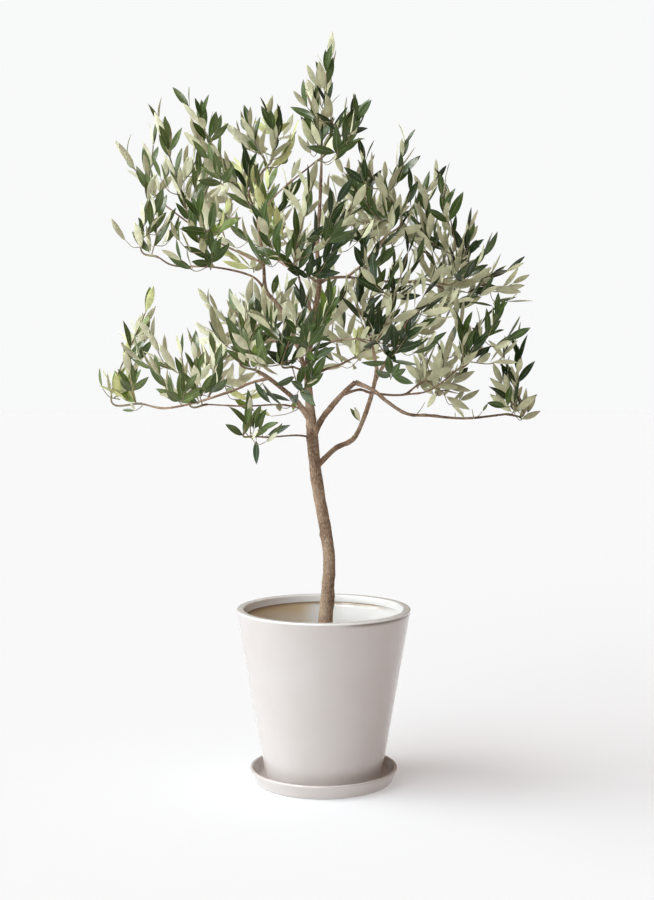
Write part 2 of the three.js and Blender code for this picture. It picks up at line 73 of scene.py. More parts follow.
def newMesh(name, corners, faces=(), edges=()):
    mesh = bpy.data.meshes.new(name)
    mesh.from_pydata(corners, edges, faces)
    return mesh


def newPiece(name, corners, faces, finish):
    piece = newObject(name, newMesh(name, corners, faces))
    piece.data.materials.append(finish)
    piece.data.shade_smooth()
    return piece


def facesAlong(rings):
    # Faces between each ring of corners and the next. A ring of one corner over and over closes an end.
    faces = []
    for lower, upper in zip(rings, rings[1:]):
        for k in range(len(lower)):
            n = (k + 1) % len(lower)
            face = [lower[k], lower[n], upper[n], upper[k]]
            faces.append([corner for i, corner in enumerate(face) if corner != face[i - 1]])
    return faces


def setInputs(node, inputs):
    for label, value in inputs.items():
        if isinstance(value, bpy.types.NodeSocket):
            node.id_data.links.new(value, node.inputs[label])
        else:
            node.inputs[label].default_value = value


def addNode(tree, kind, inputs=None, **settings):
    made = tree.nodes.new(kind)
    for label, value in settings.items():
        setattr(made, label, value)
    setInputs(made, inputs or {})
    return made


def nodeValue(tree, kind, inputs=None, out=0, **settings):
    return addNode(tree, kind, inputs, **settings).outputs[out]


# The next functions add to the tree of the socket that they are given.

def maths(operation, first, second):
    return nodeValue(first.id_data, "ShaderNodeMath", {0: first, 1: second}, operation=operation)


def product(first, second):
    return maths("MULTIPLY", first, second)


def axesOf(vector):
    return addNode(vector.id_data, "ShaderNodeSeparateXYZ", {"Vector": vector}).outputs


def mapped(value, source, target=(0, 1), kind="LINEAR"):
    inputs = {"Value": value, "From Min": source[0], "From Max": source[1],
              "To Min": target[0], "To Max": target[1]}
    return nodeValue(value.id_data, "ShaderNodeMapRange", inputs, interpolation_type=kind)


def colourBetween(factor, stops):
    ramp = addNode(factor.id_data, "ShaderNodeValToRGB", {"Fac": factor})
    points = ramp.color_ramp.elements
    for place, _ in stops[1:-1]:
        points.new(place)
    for point, (place, colour) in zip(points, stops):
        point.position = place
        point.color = (*colour, 1)
    return ramp.outputs["Color"]


def colourOver(factor, colour, over):
    inputs = {"Factor": factor, "A": colour, "B": (*over, 1)}
    return nodeValue(factor.id_data, "ShaderNodeMix", inputs, "Result", data_type="RGBA")


def noiseAt(place, scale, detail=3.0, roughness=0.55):
    inputs = {"Vector": place, "Scale": scale, "Detail": detail, "Roughness": roughness}
    return nodeValue(place.id_data, "ShaderNodeTexNoise", inputs, "Fac")


def newFinish(name, **sockets):
    material = bpy.data.materials.new(name)
    material.use_nodes = True
    shader = material.node_tree.nodes["Principled BSDF"]
    setInputs(shader, {label.replace("_", " "): value for label, value in sockets.items()})
    return material, shader


def objectPlace(shader, scale=(1, 1, 1)):
    place = nodeValue(shader.id_data, "ShaderNodeTexCoord", out="Object")
    return nodeValue(shader.id_data, "ShaderNodeMapping", {"Vector": place, "Scale": scale})


def finishShader(shader, colour, height, distance, strength=1.0, **more):
    # Links the colour, the relief that a noise gives, and any other sockets.
    inputs = {"Height": height, "Distance": distance, "Strength": strength}
    bump = nodeValue(shader.id_data, "ShaderNodeBump", inputs)
    setInputs(shader, {"Base Color": colour, "Normal": bump, **more})


# Camera and studio

photoView = {
    "place": (0.0, -2.1093, 0.6239),
    "down": 3.99,  # degrees below level
    "right": 0.13,  # degrees towards +X
    "lens": 59.4, "sensor": 36,  # mm, the sensor along its long side
}

studio = {
    "reach": 12.0,  # radius of the floor and of the backdrop
    "sides": 64,
    "floorDrop": 0.0004,  # under the saucer
    "backdrop": (0.943, 0.945, 0.951),
    "floor": (0.597, 0.603, 0.616),
    "floorGlow": (0.300, 0.300, 0.301),  # the floor is a light table, which softens the shadows
    "keyFrom": (-1.0, 0.08, 1.05),
    "keyWidth": 32,  # degrees across, for soft shadows
    "keyStrength": 1.25,
    "keyColour": (0.955, 1.0, 1.0),
    "fillFrom": (-0.86, -0.50, 0.10),  # the side that the soft light comes from
    "fillLight": (0.905, 0.995, 1.03),
    "fillShade": (0.060, 0.047, 0.041),
    "fillEdge": (0.78, 0.97),  # where the soft light starts and where it is full, round fillFrom
    "fillStrength": 1.6,
    "fillTop": 5.6,  # how much stronger it is from above
    "windows": ((-0.75, -0.85, 1.0), (-0.25, -1.1, 1.0)),  # ways to the two that the glaze mirrors
    "windowSize": (0.45, 0.5), "windowDistance": 2.08, "windowRise": 0.2, "windowPower": 30,
}


def addCamera():
    data = bpy.data.cameras.new("photoCamera")
    data.sensor_width = photoView["sensor"]
    data.lens = photoView["lens"]
    camera = newObject("photoCamera", data)
    camera.location = photoView["place"]
    camera.rotation_euler = (math.radians(90 - photoView["down"]), 0, -math.radians(photoView["right"]))
    bpy.context.scene.camera = camera


def addStage():
    sides, reach = studio["sides"], studio["reach"]
    turns = [2 * math.pi * k / sides for k in range(sides)]
    rim = [(math.cos(turn) * reach, math.sin(turn) * reach, -studio["floorDrop"]) for turn in turns]
    floor = newObject("floor", newMesh("floor", rim, [range(sides)]))
    paint = newFinish("paleFloor", Base_Color=(*studio["floor"], 1), Roughness=1, Specular_IOR_Level=0,
                      Emission_Color=(*studio["floorGlow"], 1), Emission_Strength=1)
    floor.data.materials.append(paint[0])

    bpy.ops.mesh.primitive_uv_sphere_add(segments=sides, ring_count=sides // 2, radius=reach)
    dome = bpy.context.object
    dome.name = "backdrop"
    glow = bpy.data.materials.new("paleBackdrop")
    glow.use_nodes = True
    glow.node_tree.nodes.clear()
    light = nodeValue(glow.node_tree, "ShaderNodeEmission", {"Color": (*studio["backdrop"], 1)})
    addNode(glow.node_tree, "ShaderNodeOutputMaterial", {"Surface": light})
    dome.data.materials.append(glow)
    for ray in ("diffuse", "glossy", "transmission", "volume_scatter", "shadow"):
        setattr(dome, "visible_" + ray, False)


def addLight(name, kind, way, power, **settings):
    light = bpy.data.lights.new(name, kind)
    light.energy = power
    for label, value in settings.items():
        setattr(light, label, value)
    lamp = newObject(name, light)
    lamp.rotation_euler = Vector(way).to_track_quat("Z", "Y").to_euler()
    return lamp


def addLights():
    addLight("key", "SUN", studio["keyFrom"], studio["keyStrength"],
             color=studio["keyColour"], angle=math.radians(studio["keyWidth"]))
    width, height = studio["windowSize"]
    for k, way in enumerate(studio["windows"]):
        card = addLight("window%d" % k, "AREA", way, studio["windowPower"],
                        shape="RECTANGLE", size=width, size_y=height)
        card.location = Vector(way).normalized() * studio["windowDistance"]
        card.location.z += studio["windowRise"]
        card.visible_diffuse = False


def addFill():
    # Soft light from one side and, stronger, from above.
    world = bpy.data.worlds.new("studioFill")
    world.use_nodes = True
    bpy.context.scene.world = world
    tree = world.node_tree
    way = nodeValue(tree, "ShaderNodeTexCoord", out="Generated")
    facing = nodeValue(tree, "ShaderNodeVectorMath", {0: way, 1: studio["fillFrom"]}, "Value",
                       operation="DOT_PRODUCT")
    start, full = studio["fillEdge"]
    shade, light = studio["fillShade"], studio["fillLight"]
    stops = [(0, shade), (start, shade), (full, light), (1, light)]
    colour = colourBetween(mapped(facing, (-1, 1)), stops)
    strength = studio["fillStrength"]
    above = mapped(axesOf(way)["Z"], (0, 1), (strength, strength * studio["fillTop"]))
    setInputs(tree.nodes["Background"], {"Color": colour, "Strength": above})


addCamera()
addStage()
addLights()
addFill()
bpy.context.scene.view_settings.view_transform = "Standard"
print("camera, floor and lights made")


# Pot, saucer and soil

saucer = {
    "baseRadius": 99, "rimRadius": 106.1, "height": 20.5, "floor": 6, "lip": 5,
    "cornerRadius": 3, "flare": 1, "lipLean": 0.5,
}
pot = {
    "rimRadius": 125, "footRadius": 84, "top": 249.9, "wall": 11, "floor": 11, "rimRound": 2.4,
    "collarHeight": 10.5, "collarStep": 2.4, "uprightFoot": 22, "uprightRadius": 87, "footRing": 9,
    "footHollow": 2.5, "drainRadius": 12, "footEdge": 1.5, "rimLean": 0.5, "collarSlope": 2,
    "seat": 0.3,  # above the saucer's floor, and the soil above the pot's
    "ringSlope": 2, "insideRound": 6,
    "collarEdge": ((0, 1), (0.8, -0.4)),  # where its rounded edge starts and ends
}
soil = {
    "belowRim": 57, "crown": 3, "gap": 0.6, "footRound": 6, "edgeRound": 1, "rings": 34,
    "evenEdge": 2,  # this far in from the wall it has no lumps
    "lump": 2.2,
    "lumps": ((1, 0, 0.11), (0.5, 9, 0.33)),  # share of a lump's height, place in the noise, fineness
}
turning = {"segments": 144, "roundSteps": 7, "straightStep": 6}

glazeLook = {
    "pale": (0.585, 0.535, 0.512),
    "warm": (0.560, 0.503, 0.478),
    "patch": 11,  # patches to the metre
    "patchSpan": (0.3, 0.7),  # of the noise, from warm to pale
    "ripple": 55, "rippleDetail": 2.0, "rippleDepth": 0.0005, "rippleShare": 0.5,
    "sheen": 33, "roughness": (0.10, 0.22),
    "bending": 1.5, "coat": 0.35, "coatRoughness": 0.04,
    # a painted shadow line under the collar of the inner wall
    "line": (0.30, 0.20, 0.12),
    "lineReach": 14,  # mm over which the line fades downwards
    "lineFade": 3.0,
    # paler copies of the glaze colours for the inner wall, the collar and the rim's top: painted light
    "innerPaintedLightPale": (0.860, 0.845, 0.825),
    "innerPaintedLightWarm": (0.830, 0.800, 0.770),
    # painted shade, olive-brown, on the inner wall's left side
    "innerPaintedShade": (0.720, 0.560, 0.340),
    "innerShadeFrom": (-8, -38),  # mm along X where the painted shade of the inner wall starts and is full
    "innerShadeDown": (28, 4),  # mm under the collar where it ends and is full
    "innerShadeEnd": 0.6,  # its share left at the lower end
    "lineEnd": (112, 66),  # mm along X where the painted shadow line of the inner wall ends and is full
    "edge": (0.17, 0.125, 0.095),  # painted shade under the rim's outside, at the right
    "rimShadeFrom": (12, 62),  # mm along X where it starts and is full
    "rimShadeDown": (9.2, 3.4, 2.4),  # mm under the top where it ends, is full and starts
}


def shareBetween(value, start, full, low=0):
    return mapped(value, (start * mm, full * mm), (low, 1), "SMOOTHSTEP")


def makeGlaze(name, pale, warm, lineAt=None, edgeAt=None):
    # The inner wall's glaze has painted shade at the back left, and a painted shadow line at lineAt, under
    # the collar.
    # The outer glaze has painted shade under the rim at the right, whose top is at edgeAt.
    look = glazeLook
    material, shader = newFinish(name, IOR=look["bending"], Coat_Weight=look["coat"],
                                 Coat_Roughness=look["coatRoughness"])
    place = objectPlace(shader)
    axes = axesOf(place)
    x, z = axes["X"], axes["Z"]
    low, high = look["patchSpan"]
    colour = colourBetween(noiseAt(place, look["patch"]), [(low, warm), (high, pale)])
    if edgeAt:
        # painted shade: the outer glaze darker and brown just under the rim, towards +X
        end, full, start = [edgeAt - down for down in look["rimShadeDown"]]
        down = product(shareBetween(z, end, full), shareBetween(z, start, full))
        colour = colourOver(product(shareBetween(x, *look["rimShadeFrom"]), down), colour, look["edge"])
    if lineAt:
        # painted shade: the inner wall darker and olive-brown towards -X, fading downwards from the collar
        end, full = [lineAt - down for down in look["innerShadeDown"]]
        deep = shareBetween(z, end, full, look["innerShadeEnd"])
        colour = colourOver(product(shareBetween(x, *look["innerShadeFrom"]), deep), colour, look["innerPaintedShade"])
        # painted shadow: a brown line under the collar, fading downwards and towards +X
        line = maths("POWER", shareBetween(z, lineAt - look["lineReach"], lineAt), look["lineFade"])
        colour = colourOver(product(line, shareBetween(x, *look["lineEnd"])), colour, look["line"])
    finishShader(shader, colour, noiseAt(place, look["ripple"], look["rippleDetail"]),
                 look["rippleDepth"], look["rippleShare"],
                 Roughness=mapped(noiseAt(place, look["sheen"]), (0, 1), look["roughness"]))
    return material


soilLook = {
    "colours": ((0.018, 0.012, 0.008), (0.085, 0.055, 0.035)), "span": (0.35, 0.72),
    "grain": 420, "detail": 5.0, "depth": 0.0008, "roughness": 0.95, "gloss": 0.5,
}


def grainyFinish(name, look):
    # Two colours that a grain blends, and a relief that follows the grain or a finer one.
    material, shader = newFinish(name, Roughness=look["roughness"], Specular_IOR_Level=look["gloss"])
    place = objectPlace(shader)
    grain = noiseAt(place, look["grain"], look["detail"])
    colour = colourBetween(grain, list(zip(look["span"], look["colours"])))
    relief = noiseAt(place, look["fine"], look["detail"]) if "fine" in look else grain
    finishShader(shader, colour, relief, look["depth"], look.get("strength", 1.0))
    return material


def bend(radius, height, before, after):
    # A rounded corner at a radius and height. It starts and ends at the offsets before and after.
    points = []
    for k in range(turning["roundSteps"] + 1):
        t = k / turning["roundSteps"]
        early, late = (1 - t) ** 2, t ** 2
        points.append([radius + early * before[0] + late * after[0],
                       height + early * before[1] + late * after[1]])
    return points


def turned(name, profile, finish, closedRing):
    # Turns a profile of [radius, height] points round Z. Long straight stretches get rings between.
    ends = profile + profile[:1] if closedRing else profile
    rows = []
    for (r0, z0), (r1, z1) in zip(ends, ends[1:]):
        steps = max(1, round(math.hypot(r1 - r0, z1 - z0) / turning["straightStep"]))
        rows += [[mix(r0, r1, k / steps), mix(z0, z1, k / steps)] for k in range(steps)]
    if not closedRing:
        rows.append(profile[-1])
    count = turning["segments"]
    angles = [2 * math.pi * k / count for k in range(count)]
    corners, rings = [], []
    for radius, height in rows:
        first = len(corners)
        if radius < 1e-6:  # on the axis
            rings.append([first] * count)
            corners.append((0, 0, height * mm))
        else:
            rings.append(range(first, first + count))
            corners += [(radius * mm * math.cos(a), radius * mm * math.sin(a), height * mm) for a in angles]
    if closedRing:
        rings.append(rings[0])
    return newPiece(name, corners, facesAlong(rings), finish)


def potRadius(height):
    foot = saucer["floor"]
    knee = foot + pot["uprightFoot"]
    if height < knee:
        return mix(pot["footRadius"], pot["uprightRadius"], (height - foot) / pot["uprightFoot"])
    return mix(pot["uprightRadius"], pot["rimRadius"], (height - knee) / (pot["top"] - knee))


def innerRadius(height):
    return potRadius(height) - pot["wall"] - pot["collarStep"]


def makeSaucer():
    base, rim, top, half = saucer["baseRadius"], saucer["rimRadius"], saucer["height"], saucer["lip"] / 2
    corner, floor = saucer["cornerRadius"], saucer["floor"]
    profile = [[0, 0]]
    profile += bend(base, 0, (-corner, 0), (saucer["flare"], corner))
    profile += bend(rim, top, (0, -half), (-half, 0))
    profile += bend(rim - 2 * half, top, (half, 0), (-saucer["lipLean"], -half))[1:]
    profile += bend(base - 2 * half, floor, (corner, corner), (-corner, 0))
    profile += [[0, floor]]
    return turned("glazed_saucer", profile, glaze, False)


def makePot():
    foot = saucer["floor"] + pot["seat"]
    top, rim, wall, rounding = pot["top"], pot["rimRadius"], pot["wall"], pot["rimRound"]
    hollow, ring, edge = foot + pot["footHollow"], pot["footRadius"] - pot["footRing"], pot["footEdge"]
    collar = top - pot["collarHeight"]
    below = collar - pot["collarSlope"]
    floor, corner = foot + pot["floor"], pot["insideRound"]
    inner = innerRadius(floor)
    profile = [[pot["drainRadius"], hollow], [ring - pot["ringSlope"], hollow], [ring, foot]]
    profile += bend(pot["footRadius"], foot, (-edge, 0), (0, edge))
    profile += [[pot["uprightRadius"], saucer["floor"] + pot["uprightFoot"]]]
    profile += bend(rim, top, (-pot["rimLean"], -rounding), (-rounding, 0))
    profile += bend(rim - wall, top, (rounding, 0), (potRadius(top - rounding) - rim, -rounding))
    profile += bend(potRadius(collar) - wall, collar, *pot["collarEdge"])
    profile += [[innerRadius(below), below]]
    profile += bend(inner, floor, (innerRadius(floor + corner) - inner, corner), (-corner, 0))
    profile += [[pot["drainRadius"], floor]]
    piece = turned("glazed_pot", profile, glaze, True)
    piece.data.materials.append(innerGlaze)
    piece.data.materials.append(collarGlaze)
    # the inner wall, the collar and the rim's top take the paler glazes, which paint light
    for face in piece.data.polygons:
        x, y, z = face.center / mm
        inside = z > floor and math.hypot(x, y) < potRadius(z) - wall / 2
        if inside or z > top - rounding:
            face.material_index = 1 if z < collar else 2
    return piece


def makeSoilBody():
    low = saucer["floor"] + 2 * pot["seat"] + pot["floor"]
    top, crown, gap, corner = pot["top"] - soil["belowRim"], soil["crown"], soil["gap"], soil["footRound"]
    edge = innerRadius(top - crown) - gap
    profile = [[0, low], [innerRadius(low) - gap - corner, low]]
    profile += [[innerRadius(low + corner) - gap, low + corner], [edge, top - crown]]
    for k in range(soil["rings"], -1, -1):
        share = k / soil["rings"]
        profile.append([(edge - soil["edgeRound"]) * share, top - crown * share * share])
    body = turned("potting_soil", profile, soilFinish, False)
    for point in body.data.vertices:
        x, y, z = point.co / mm
        if z > top - crown - 0.01 and math.hypot(x, y) < edge - soil["evenEdge"]:
            rough = sum(share * noise.noise(Vector((x, y, at)) * fine) for share, at, fine in soil["lumps"])
            point.co.z += soil["lump"] * mm * rough
    return body


glaze = makeGlaze("offWhiteGlaze", glazeLook["pale"], glazeLook["warm"], edgeAt=pot["top"])
collarGlaze = makeGlaze("collarGlaze", glazeLook["innerPaintedLightPale"], glazeLook["innerPaintedLightWarm"])
innerGlaze = makeGlaze("innerWallGlaze", glazeLook["innerPaintedLightPale"], glazeLook["innerPaintedLightWarm"],
                       lineAt=pot["top"] - pot["collarHeight"])
soilFinish = grainyFinish("pottingSoil", soilLook)
saucerPiece = makeSaucer()
potPiece = makePot()
soilPiece = makeSoilBody()
print("pot, saucer and soil made")


# The tree's rows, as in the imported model, in millimetres

soilHeight = pot["top"] - soil["belowRim"]
trunkPath = [
    (0, 0, soilHeight + 0.3), (5, 0, 266), (8, 2, 316), (3, 4, 360), (-6, 4, 409), (-12, 2, 451),
    (-16, -2, 495), (-18, -3, 519), (-22, 2, 573), (-21, 6, 616), (-14, 4, 664), (-6, 0, 713),
    (-9, -3, 762), (-5, 2, 829), (-3, 4, 881),
]
# share of the trunk's length, and how thick it is there
trunkThickness = [(0, 27), (0.03, 21.5), (0.09, 17.4), (0.42, 16.6), (0.5, 14.5), (0.58, 10.4), (1, 3.6)]

# The limb that a bough leaves and the way-point where it does, how thick it is at its foot and tip,
# and its own way-points.
boughRows = {
    "low_left": ("trunk", 7, (11, 6.4), [
        (-30, -12, 536), (-42, -24, 551), (-76, -48, 580), (-92, -60, 590),
    ]),
    "low_left_reach": ("low_left", 3, (5.2, 3.6), [
        (-102, -40, 573), (-125, -28, 563), (-163, -12, 550), (-191, 0, 542), (-228, 8, 536),
        (-259, 12, 542),
    ]),
    "low_left_twig": ("low_left", 1, (3.4, 2.6), [(-60, -42, 543), (-108, -68, 542), (-158, -86, 545)]),
    "under_left": ("trunk", 6, (3.2, 2.6), [(-39, -22, 499), (-75, -46, 498), (-99, -62, 500)]),
    "low_right": ("trunk", 6, (12, 8.4), [
        (-6, -13, 516), (8, -22, 536), (25, -32, 556), (44, -40, 574),
    ]),
    "low_right_reach": ("low_right", 4, (8, 3.6), [
        (69, -46, 563), (90, -45, 546), (117, -38, 530), (148, -24, 527), (201, -2, 522),
        (262, 18, 527),
    ]),
    "low_right_arm": ("low_right", 3, (5.2, 3.6), [
        (50, -14, 563), (69, -6, 558), (112, 10, 555), (134, 22, 568),
    ]),
    "right_reach": ("low_right_arm", 3, (3.4, 2.6), [(150, -10, 562), (186, -22, 590)]),
    "rising_right": ("trunk", 5, (9.4, 7.4), [
        (16, 18, 477), (42, 30, 490), (55, 32, 513), (65, 28, 541), (74, 20, 576), (76, 18, 592),
    ]),
    "rising_right_inner": ("rising_right", 6, (6, 3.8), [(72, 10, 612), (68, 4, 630), (60, -4, 655)]),
    "rising_right_outer": ("rising_right", 5, (6.4, 3.8), [
        (88, 26, 600), (104, 34, 623), (124, 46, 664), (146, 54, 681),
    ]),
    "high_left": ("trunk", 8, (9, 3.2), [
        (-38, -8, 628), (-60, -20, 676), (-80, -26, 702), (-84, -28, 740), (-93, -22, 805),
        (-104, -20, 838), (-86, -16, 866),
    ]),
    "high_left_cross": ("high_left", 5, (3.8, 2.6), [
        (-76, -30, 822), (-58, -38, 840), (-14, -50, 874),
    ]),
    "high_left_arm": ("high_left", 3, (4.2, 2.8), [
        (-102, -40, 722), (-152, -50, 733), (-205, -46, 735), (-229, -42, 747),
    ]),
    "high_left_reach": ("high_left", 4, (4.2, 2.6), [
        (-112, -18, 752), (-162, -4, 777), (-187, 6, 795), (-224, 18, 823),
    ]),
    "mid_right": ("trunk", 11, (6, 3.6), [
        (8, 3, 720), (33, 10, 722), (69, 22, 718), (110, 30, 716), (144, 34, 719),
    ]),
    "mid_right_riser": ("mid_right", 2, (4.4, 3.2), [(56, 2, 740), (70, -6, 758), (83, -10, 774)]),
    "mid_right_reach": ("mid_right", 4, (3.6, 2.6), [(136, 58, 716), (168, 84, 712)]),
    "front_high": ("trunk", 10, (5, 3.2), [(-22, -34, 686), (-30, -72, 704), (-34, -104, 720)]),
    "front_low": ("trunk", 8, (5.6, 3.4), [(-20, -34, 586), (-26, -72, 590), (-40, -106, 596)]),
    "front_right": ("trunk", 9, (5.2, 3.2), [(-4, -26, 624), (18, -66, 632), (42, -100, 634)]),
    "back_low_left": ("trunk", 9, (6, 3.4), [(-38, 36, 626), (-66, 84, 630), (-84, 128, 634)]),
    "back_low_right": ("trunk", 8, (6, 3.4), [(-4, 38, 588), (22, 92, 596), (44, 138, 606)]),
    "back_high_left": ("trunk", 11, (4.8, 3), [(-28, 32, 728), (-56, 76, 742), (-76, 118, 758)]),
    "back_high_right": ("trunk", 12, (4.6, 3), [(10, 30, 774), (40, 66, 786), (66, 104, 800)]),
}

# The limb that a mass of foliage grows from and the way-point where it does, or None for the limb's
# tip; the tip of its stem; how far it spreads, its side twigs and its seed.
massRows = {
    "top": ("trunk", None, (9, 2, 1024), 70, 5, 600),
    "upper_right_front": ("high_left_cross", None, (40, -76, 930), 109, 5, 202),
    "high_left_crest": ("high_left", None, (-78, 12, 946), 74, 6, 183),
    "high_left_brush": ("high_left", 5, (-182, -68, 946), 81, 6, 646),
    "far_left_high": ("high_left_reach", None, (-242, 26, 909), 59, 3, 644),
    "left_shoot": ("high_left_reach", 3, (-230, -11, 936), 82, 6, 742),
    "left_high_back": ("high_left_reach", 2, (-181, 104, 866), 150, 5, 825),
    "left_arm_end": ("high_left_arm", None, (-240, -58, 822), 64, 3, 898),
    "left_arm_brush": ("high_left_arm", 2, (-178, -132, 790), 128, 5, 83),
    "low_left_end": ("low_left_reach", None, (-252, 8, 674), 66, 6, 764),
    "low_left_mid": ("low_left_reach", 3, (-139, 77, 640), 130, 6, 355),
    "low_left_hem": ("low_left_twig", None, (-192, -97, 613), 116, 5, 833),
    "low_left_crest": ("low_left", None, (-101, -104, 671), 150, 7, 431),
    "under_left_end": ("under_left", None, (-104, -96, 520), 72, 3, 714),
    "low_right_end": ("low_right_reach", None, (259, 25, 605), 84, 4, 403),
    "right_low": ("low_right_arm", None, (190, 68, 602), 133, 7, 586),
    "right_low_reach": ("right_reach", None, (218, -35, 652), 99, 5, 695),
    "right_mid_reach": ("rising_right_outer", None, (265, 64, 732), 101, 6, 324),
    "centre_low": ("trunk", 9, (6, 19, 712), 142, 6, 808),
    "centre_right": ("rising_right_inner", None, (92, -49, 783), 135, 6, 760),
    "right_upper": ("mid_right", None, (171, 17, 855), 150, 6, 203),
    "right_shoulder": ("mid_right_reach", None, (194, 128, 763), 114, 6, 108),
    "right_crest": ("mid_right_riser", None, (47, -49, 879), 116, 6, 165),
    "centre_high": ("trunk", 12, (60, 12, 846), 130, 7, 739),
    "centre_brush": ("front_high", None, (-19, -156, 820), 137, 7, 294),
    "front_low_brush": ("front_low", None, (-27, -194, 670), 135, 6, 221),
    "front_right_brush": ("front_right", None, (108, -192, 743), 148, 5, 342),
    "back_left_brush": ("back_low_left", None, (-113, 184, 687), 122, 6, 425),
    "back_right_brush": ("back_low_right", None, (118, 211, 686), 143, 5, 831),
    "back_high_left_brush": ("back_high_left", None, (-100, 189, 885), 135, 6, 221),
    "back_high_brush": ("back_high_right", None, (65, 160, 862), 150, 6, 71),
}
growth = {
    "gap": 0.3,
    "rings": 2,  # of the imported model, to each way-point
    "stemThickness": (3.4, 1.5), "sideThickness": (1.7, 1.0), "fineThickness": (1.2, 0.8),
    "open": 58, "turn": 137.5, "turnRange": 30, "lift": 0.9,
    "tipSpan": (0.06, 0.84), "forkSpan": (0.18, 0.84),
    "stagger": 0.6, "reach": 0.72, "range": (0.85, 1.15), "shorter": (1, 0.8, 0.6, 0.42),
    "tested": (0.35, 0.7, 1), "stemBend": 0.35, "clearance": 2.2,
    "fineTwigs": 1,  # on each side twig
    "fineReach": 0.6,  # a fine twig's length as a share of its side twig's
    "fineSpan": (0.25, 0.7),
    "fineSeed": 2000,
}
leafing = {
    "length": 46, "step": 20, "first": 9,
    "open": 50, "openTip": 24, "openRange": (0.75, 1.2), "turnRange": 40,
    "lengthRange": (0.78, 1.14), "lengthAlong": (1.04, 0.82),
    "lift": 0.45, "width": 12, "widest": 0.52, "clearance": 1.5, "rootDepth": 1,
    "tested": (0.2, 0.4, 0.6, 0.8, 1), "margin": 0.5,
    "tries": ((0, 1), (0, 0.6), (45, 1), (-45, 1), (0, 0.3), (45, 0.5), (-45, 0.5)),
    "seed": 1000,
}


def draws(seed):
    # The same numbers from 0 to 1 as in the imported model.
    state = seed

    def draw():
        nonlocal state
        state = (state * 1664525 + 1013904223) % 4294967296
        return state / 4294967296
    return draw


def within(span, draw):
    return mix(span[0], span[1], draw())


def unit(vector):
    return vector / np.linalg.norm(vector)


def alongPairs(pairs, share):
    following = max(1, next((k for k, pair in enumerate(pairs) if pair[0] >= share), len(pairs) - 1))
    (start, low), (end, high) = pairs[following - 1], pairs[following]
    return mix(low, high, (share - start) / (end - start))


def curvePoint(path, share):
    # A smooth curve through the way-points, evenly shared between them.
    last = len(path) - 1
    k = min(int(share * last), last - 1)
    t = share * last - k
    before = path[k - 1] if k > 0 else 2 * path[0] - path[1]
    after = path[k + 2] if k + 2 <= last else 2 * path[last] - path[last - 1]
    here, there = path[k], path[k + 1]
    leave, arrive = 0.5 * (there - before), 0.5 * (after - here)
    square = -3 * here + 3 * there - 2 * leave - arrive
    cube = 2 * here - 2 * there + leave + arrive
    return here + leave * t + square * t * t + cube * t ** 3


def tubeAlong(path, thickness, shares):
    points = np.array([curvePoint(path, share) for share in shares])
    return points, np.array([alongPairs(thickness, share) / 2 for share in shares])


def makeLimb(path, thickness, parent=None):
    path = np.array(path, float)
    count = (len(path) - 1) * growth["rings"]
    points, radii = tubeAlong(path, thickness, [k / count for k in range(count + 1)])
    heading = unit(curvePoint(path, 1) - curvePoint(path, 0.9999))  # its way at the tip
    return {"path": path, "points": points, "radii": radii, "thickness": thickness,
            "heading": heading, "parent": parent}


limbs = {"trunk": makeLimb(trunkPath, trunkThickness)}
for name, (source, fork, (foot, tip), wayPoints) in boughRows.items():
    parent = limbs[source]
    limbs[name] = makeLimb([parent["path"][fork], *wayPoints], [(0, foot), (1, tip)], parent)

stretchStarts = np.concatenate([limb["points"][:-1] for limb in limbs.values()])
stretchWays = np.concatenate([np.diff(limb["points"], axis=0) for limb in limbs.values()])
stretchRadii = np.concatenate([limb["radii"][:-1] for limb in limbs.values()])
stretchSquares = (stretchWays ** 2).sum(1)


def limbDistance(place):
    share = np.clip(((place - stretchStarts) * stretchWays).sum(1) / stretchSquares, 0, 1)
    nearest = stretchStarts + stretchWays * share[:, None]
    return (np.linalg.norm(nearest - place, axis=1) - stretchRadii).min()


def nearestPair(one, other):
    a, b = one["end"] - one["start"], other["end"] - other["start"]
    between = one["start"] - other["start"]
    aa, bb, ab, ar, br = a @ a, b @ b, a @ b, a @ between, b @ between
    s = min(1, max(0, (ab * br - ar * bb) / (aa * bb - ab * ab)))
    t = min(1, max(0, (ab * s + br) / bb))
    s = min(1, max(0, (ab * t - ar) / aa))
    return one["start"] + a * s, other["start"] + b * t


def makeMasses():
    # Each mass keeps to its own side of the planes midway between it and the others.
    made = []
    for limb, fork, tip, spread, twigs, seed in massRows.values():
        parent, end = limbs[limb], np.array(tip, float)
        if fork is None:
            start = parent["points"][-1] + parent["heading"] * growth["gap"]
            heading, span = parent["heading"], growth["tipSpan"]
        else:
            start = parent["path"][fork]
            heading, span = unit(end - start), growth["forkSpan"]
        made.append({"start": start, "end": end, "heading": heading, "span": span,
                     "spread": spread, "twigs": twigs, "seed": seed})
    for mass in made:
        pairs = [nearestPair(mass, other) for other in made if other is not mass]
        mass["inward"] = np.array([unit(mine - theirs) for mine, theirs in pairs])
        middles = np.array([(mine + theirs) / 2 for mine, theirs in pairs])
        mass["wall"] = (mass["inward"] * middles).sum(1)
    return made


def roomAt(mass, place):
    way = mass["end"] - mass["start"]
    share = min(1, max(0, (place - mass["start"]) @ way / (way @ way)))
    aside = mass["spread"] - np.linalg.norm(place - mass["start"] - way * share)
    return min(aside, (mass["inward"] @ place - mass["wall"]).min())


def newTwig(start, middle, end, length, thickness):
    return {"start": start, "middle": middle, "end": end, "length": length, "thickness": thickness}


def bentTwig(start, out, bent, length, thickness):
    middle = start + out * length / 2
    return newTwig(start, middle, middle + bent * length / 2, length, thickness)


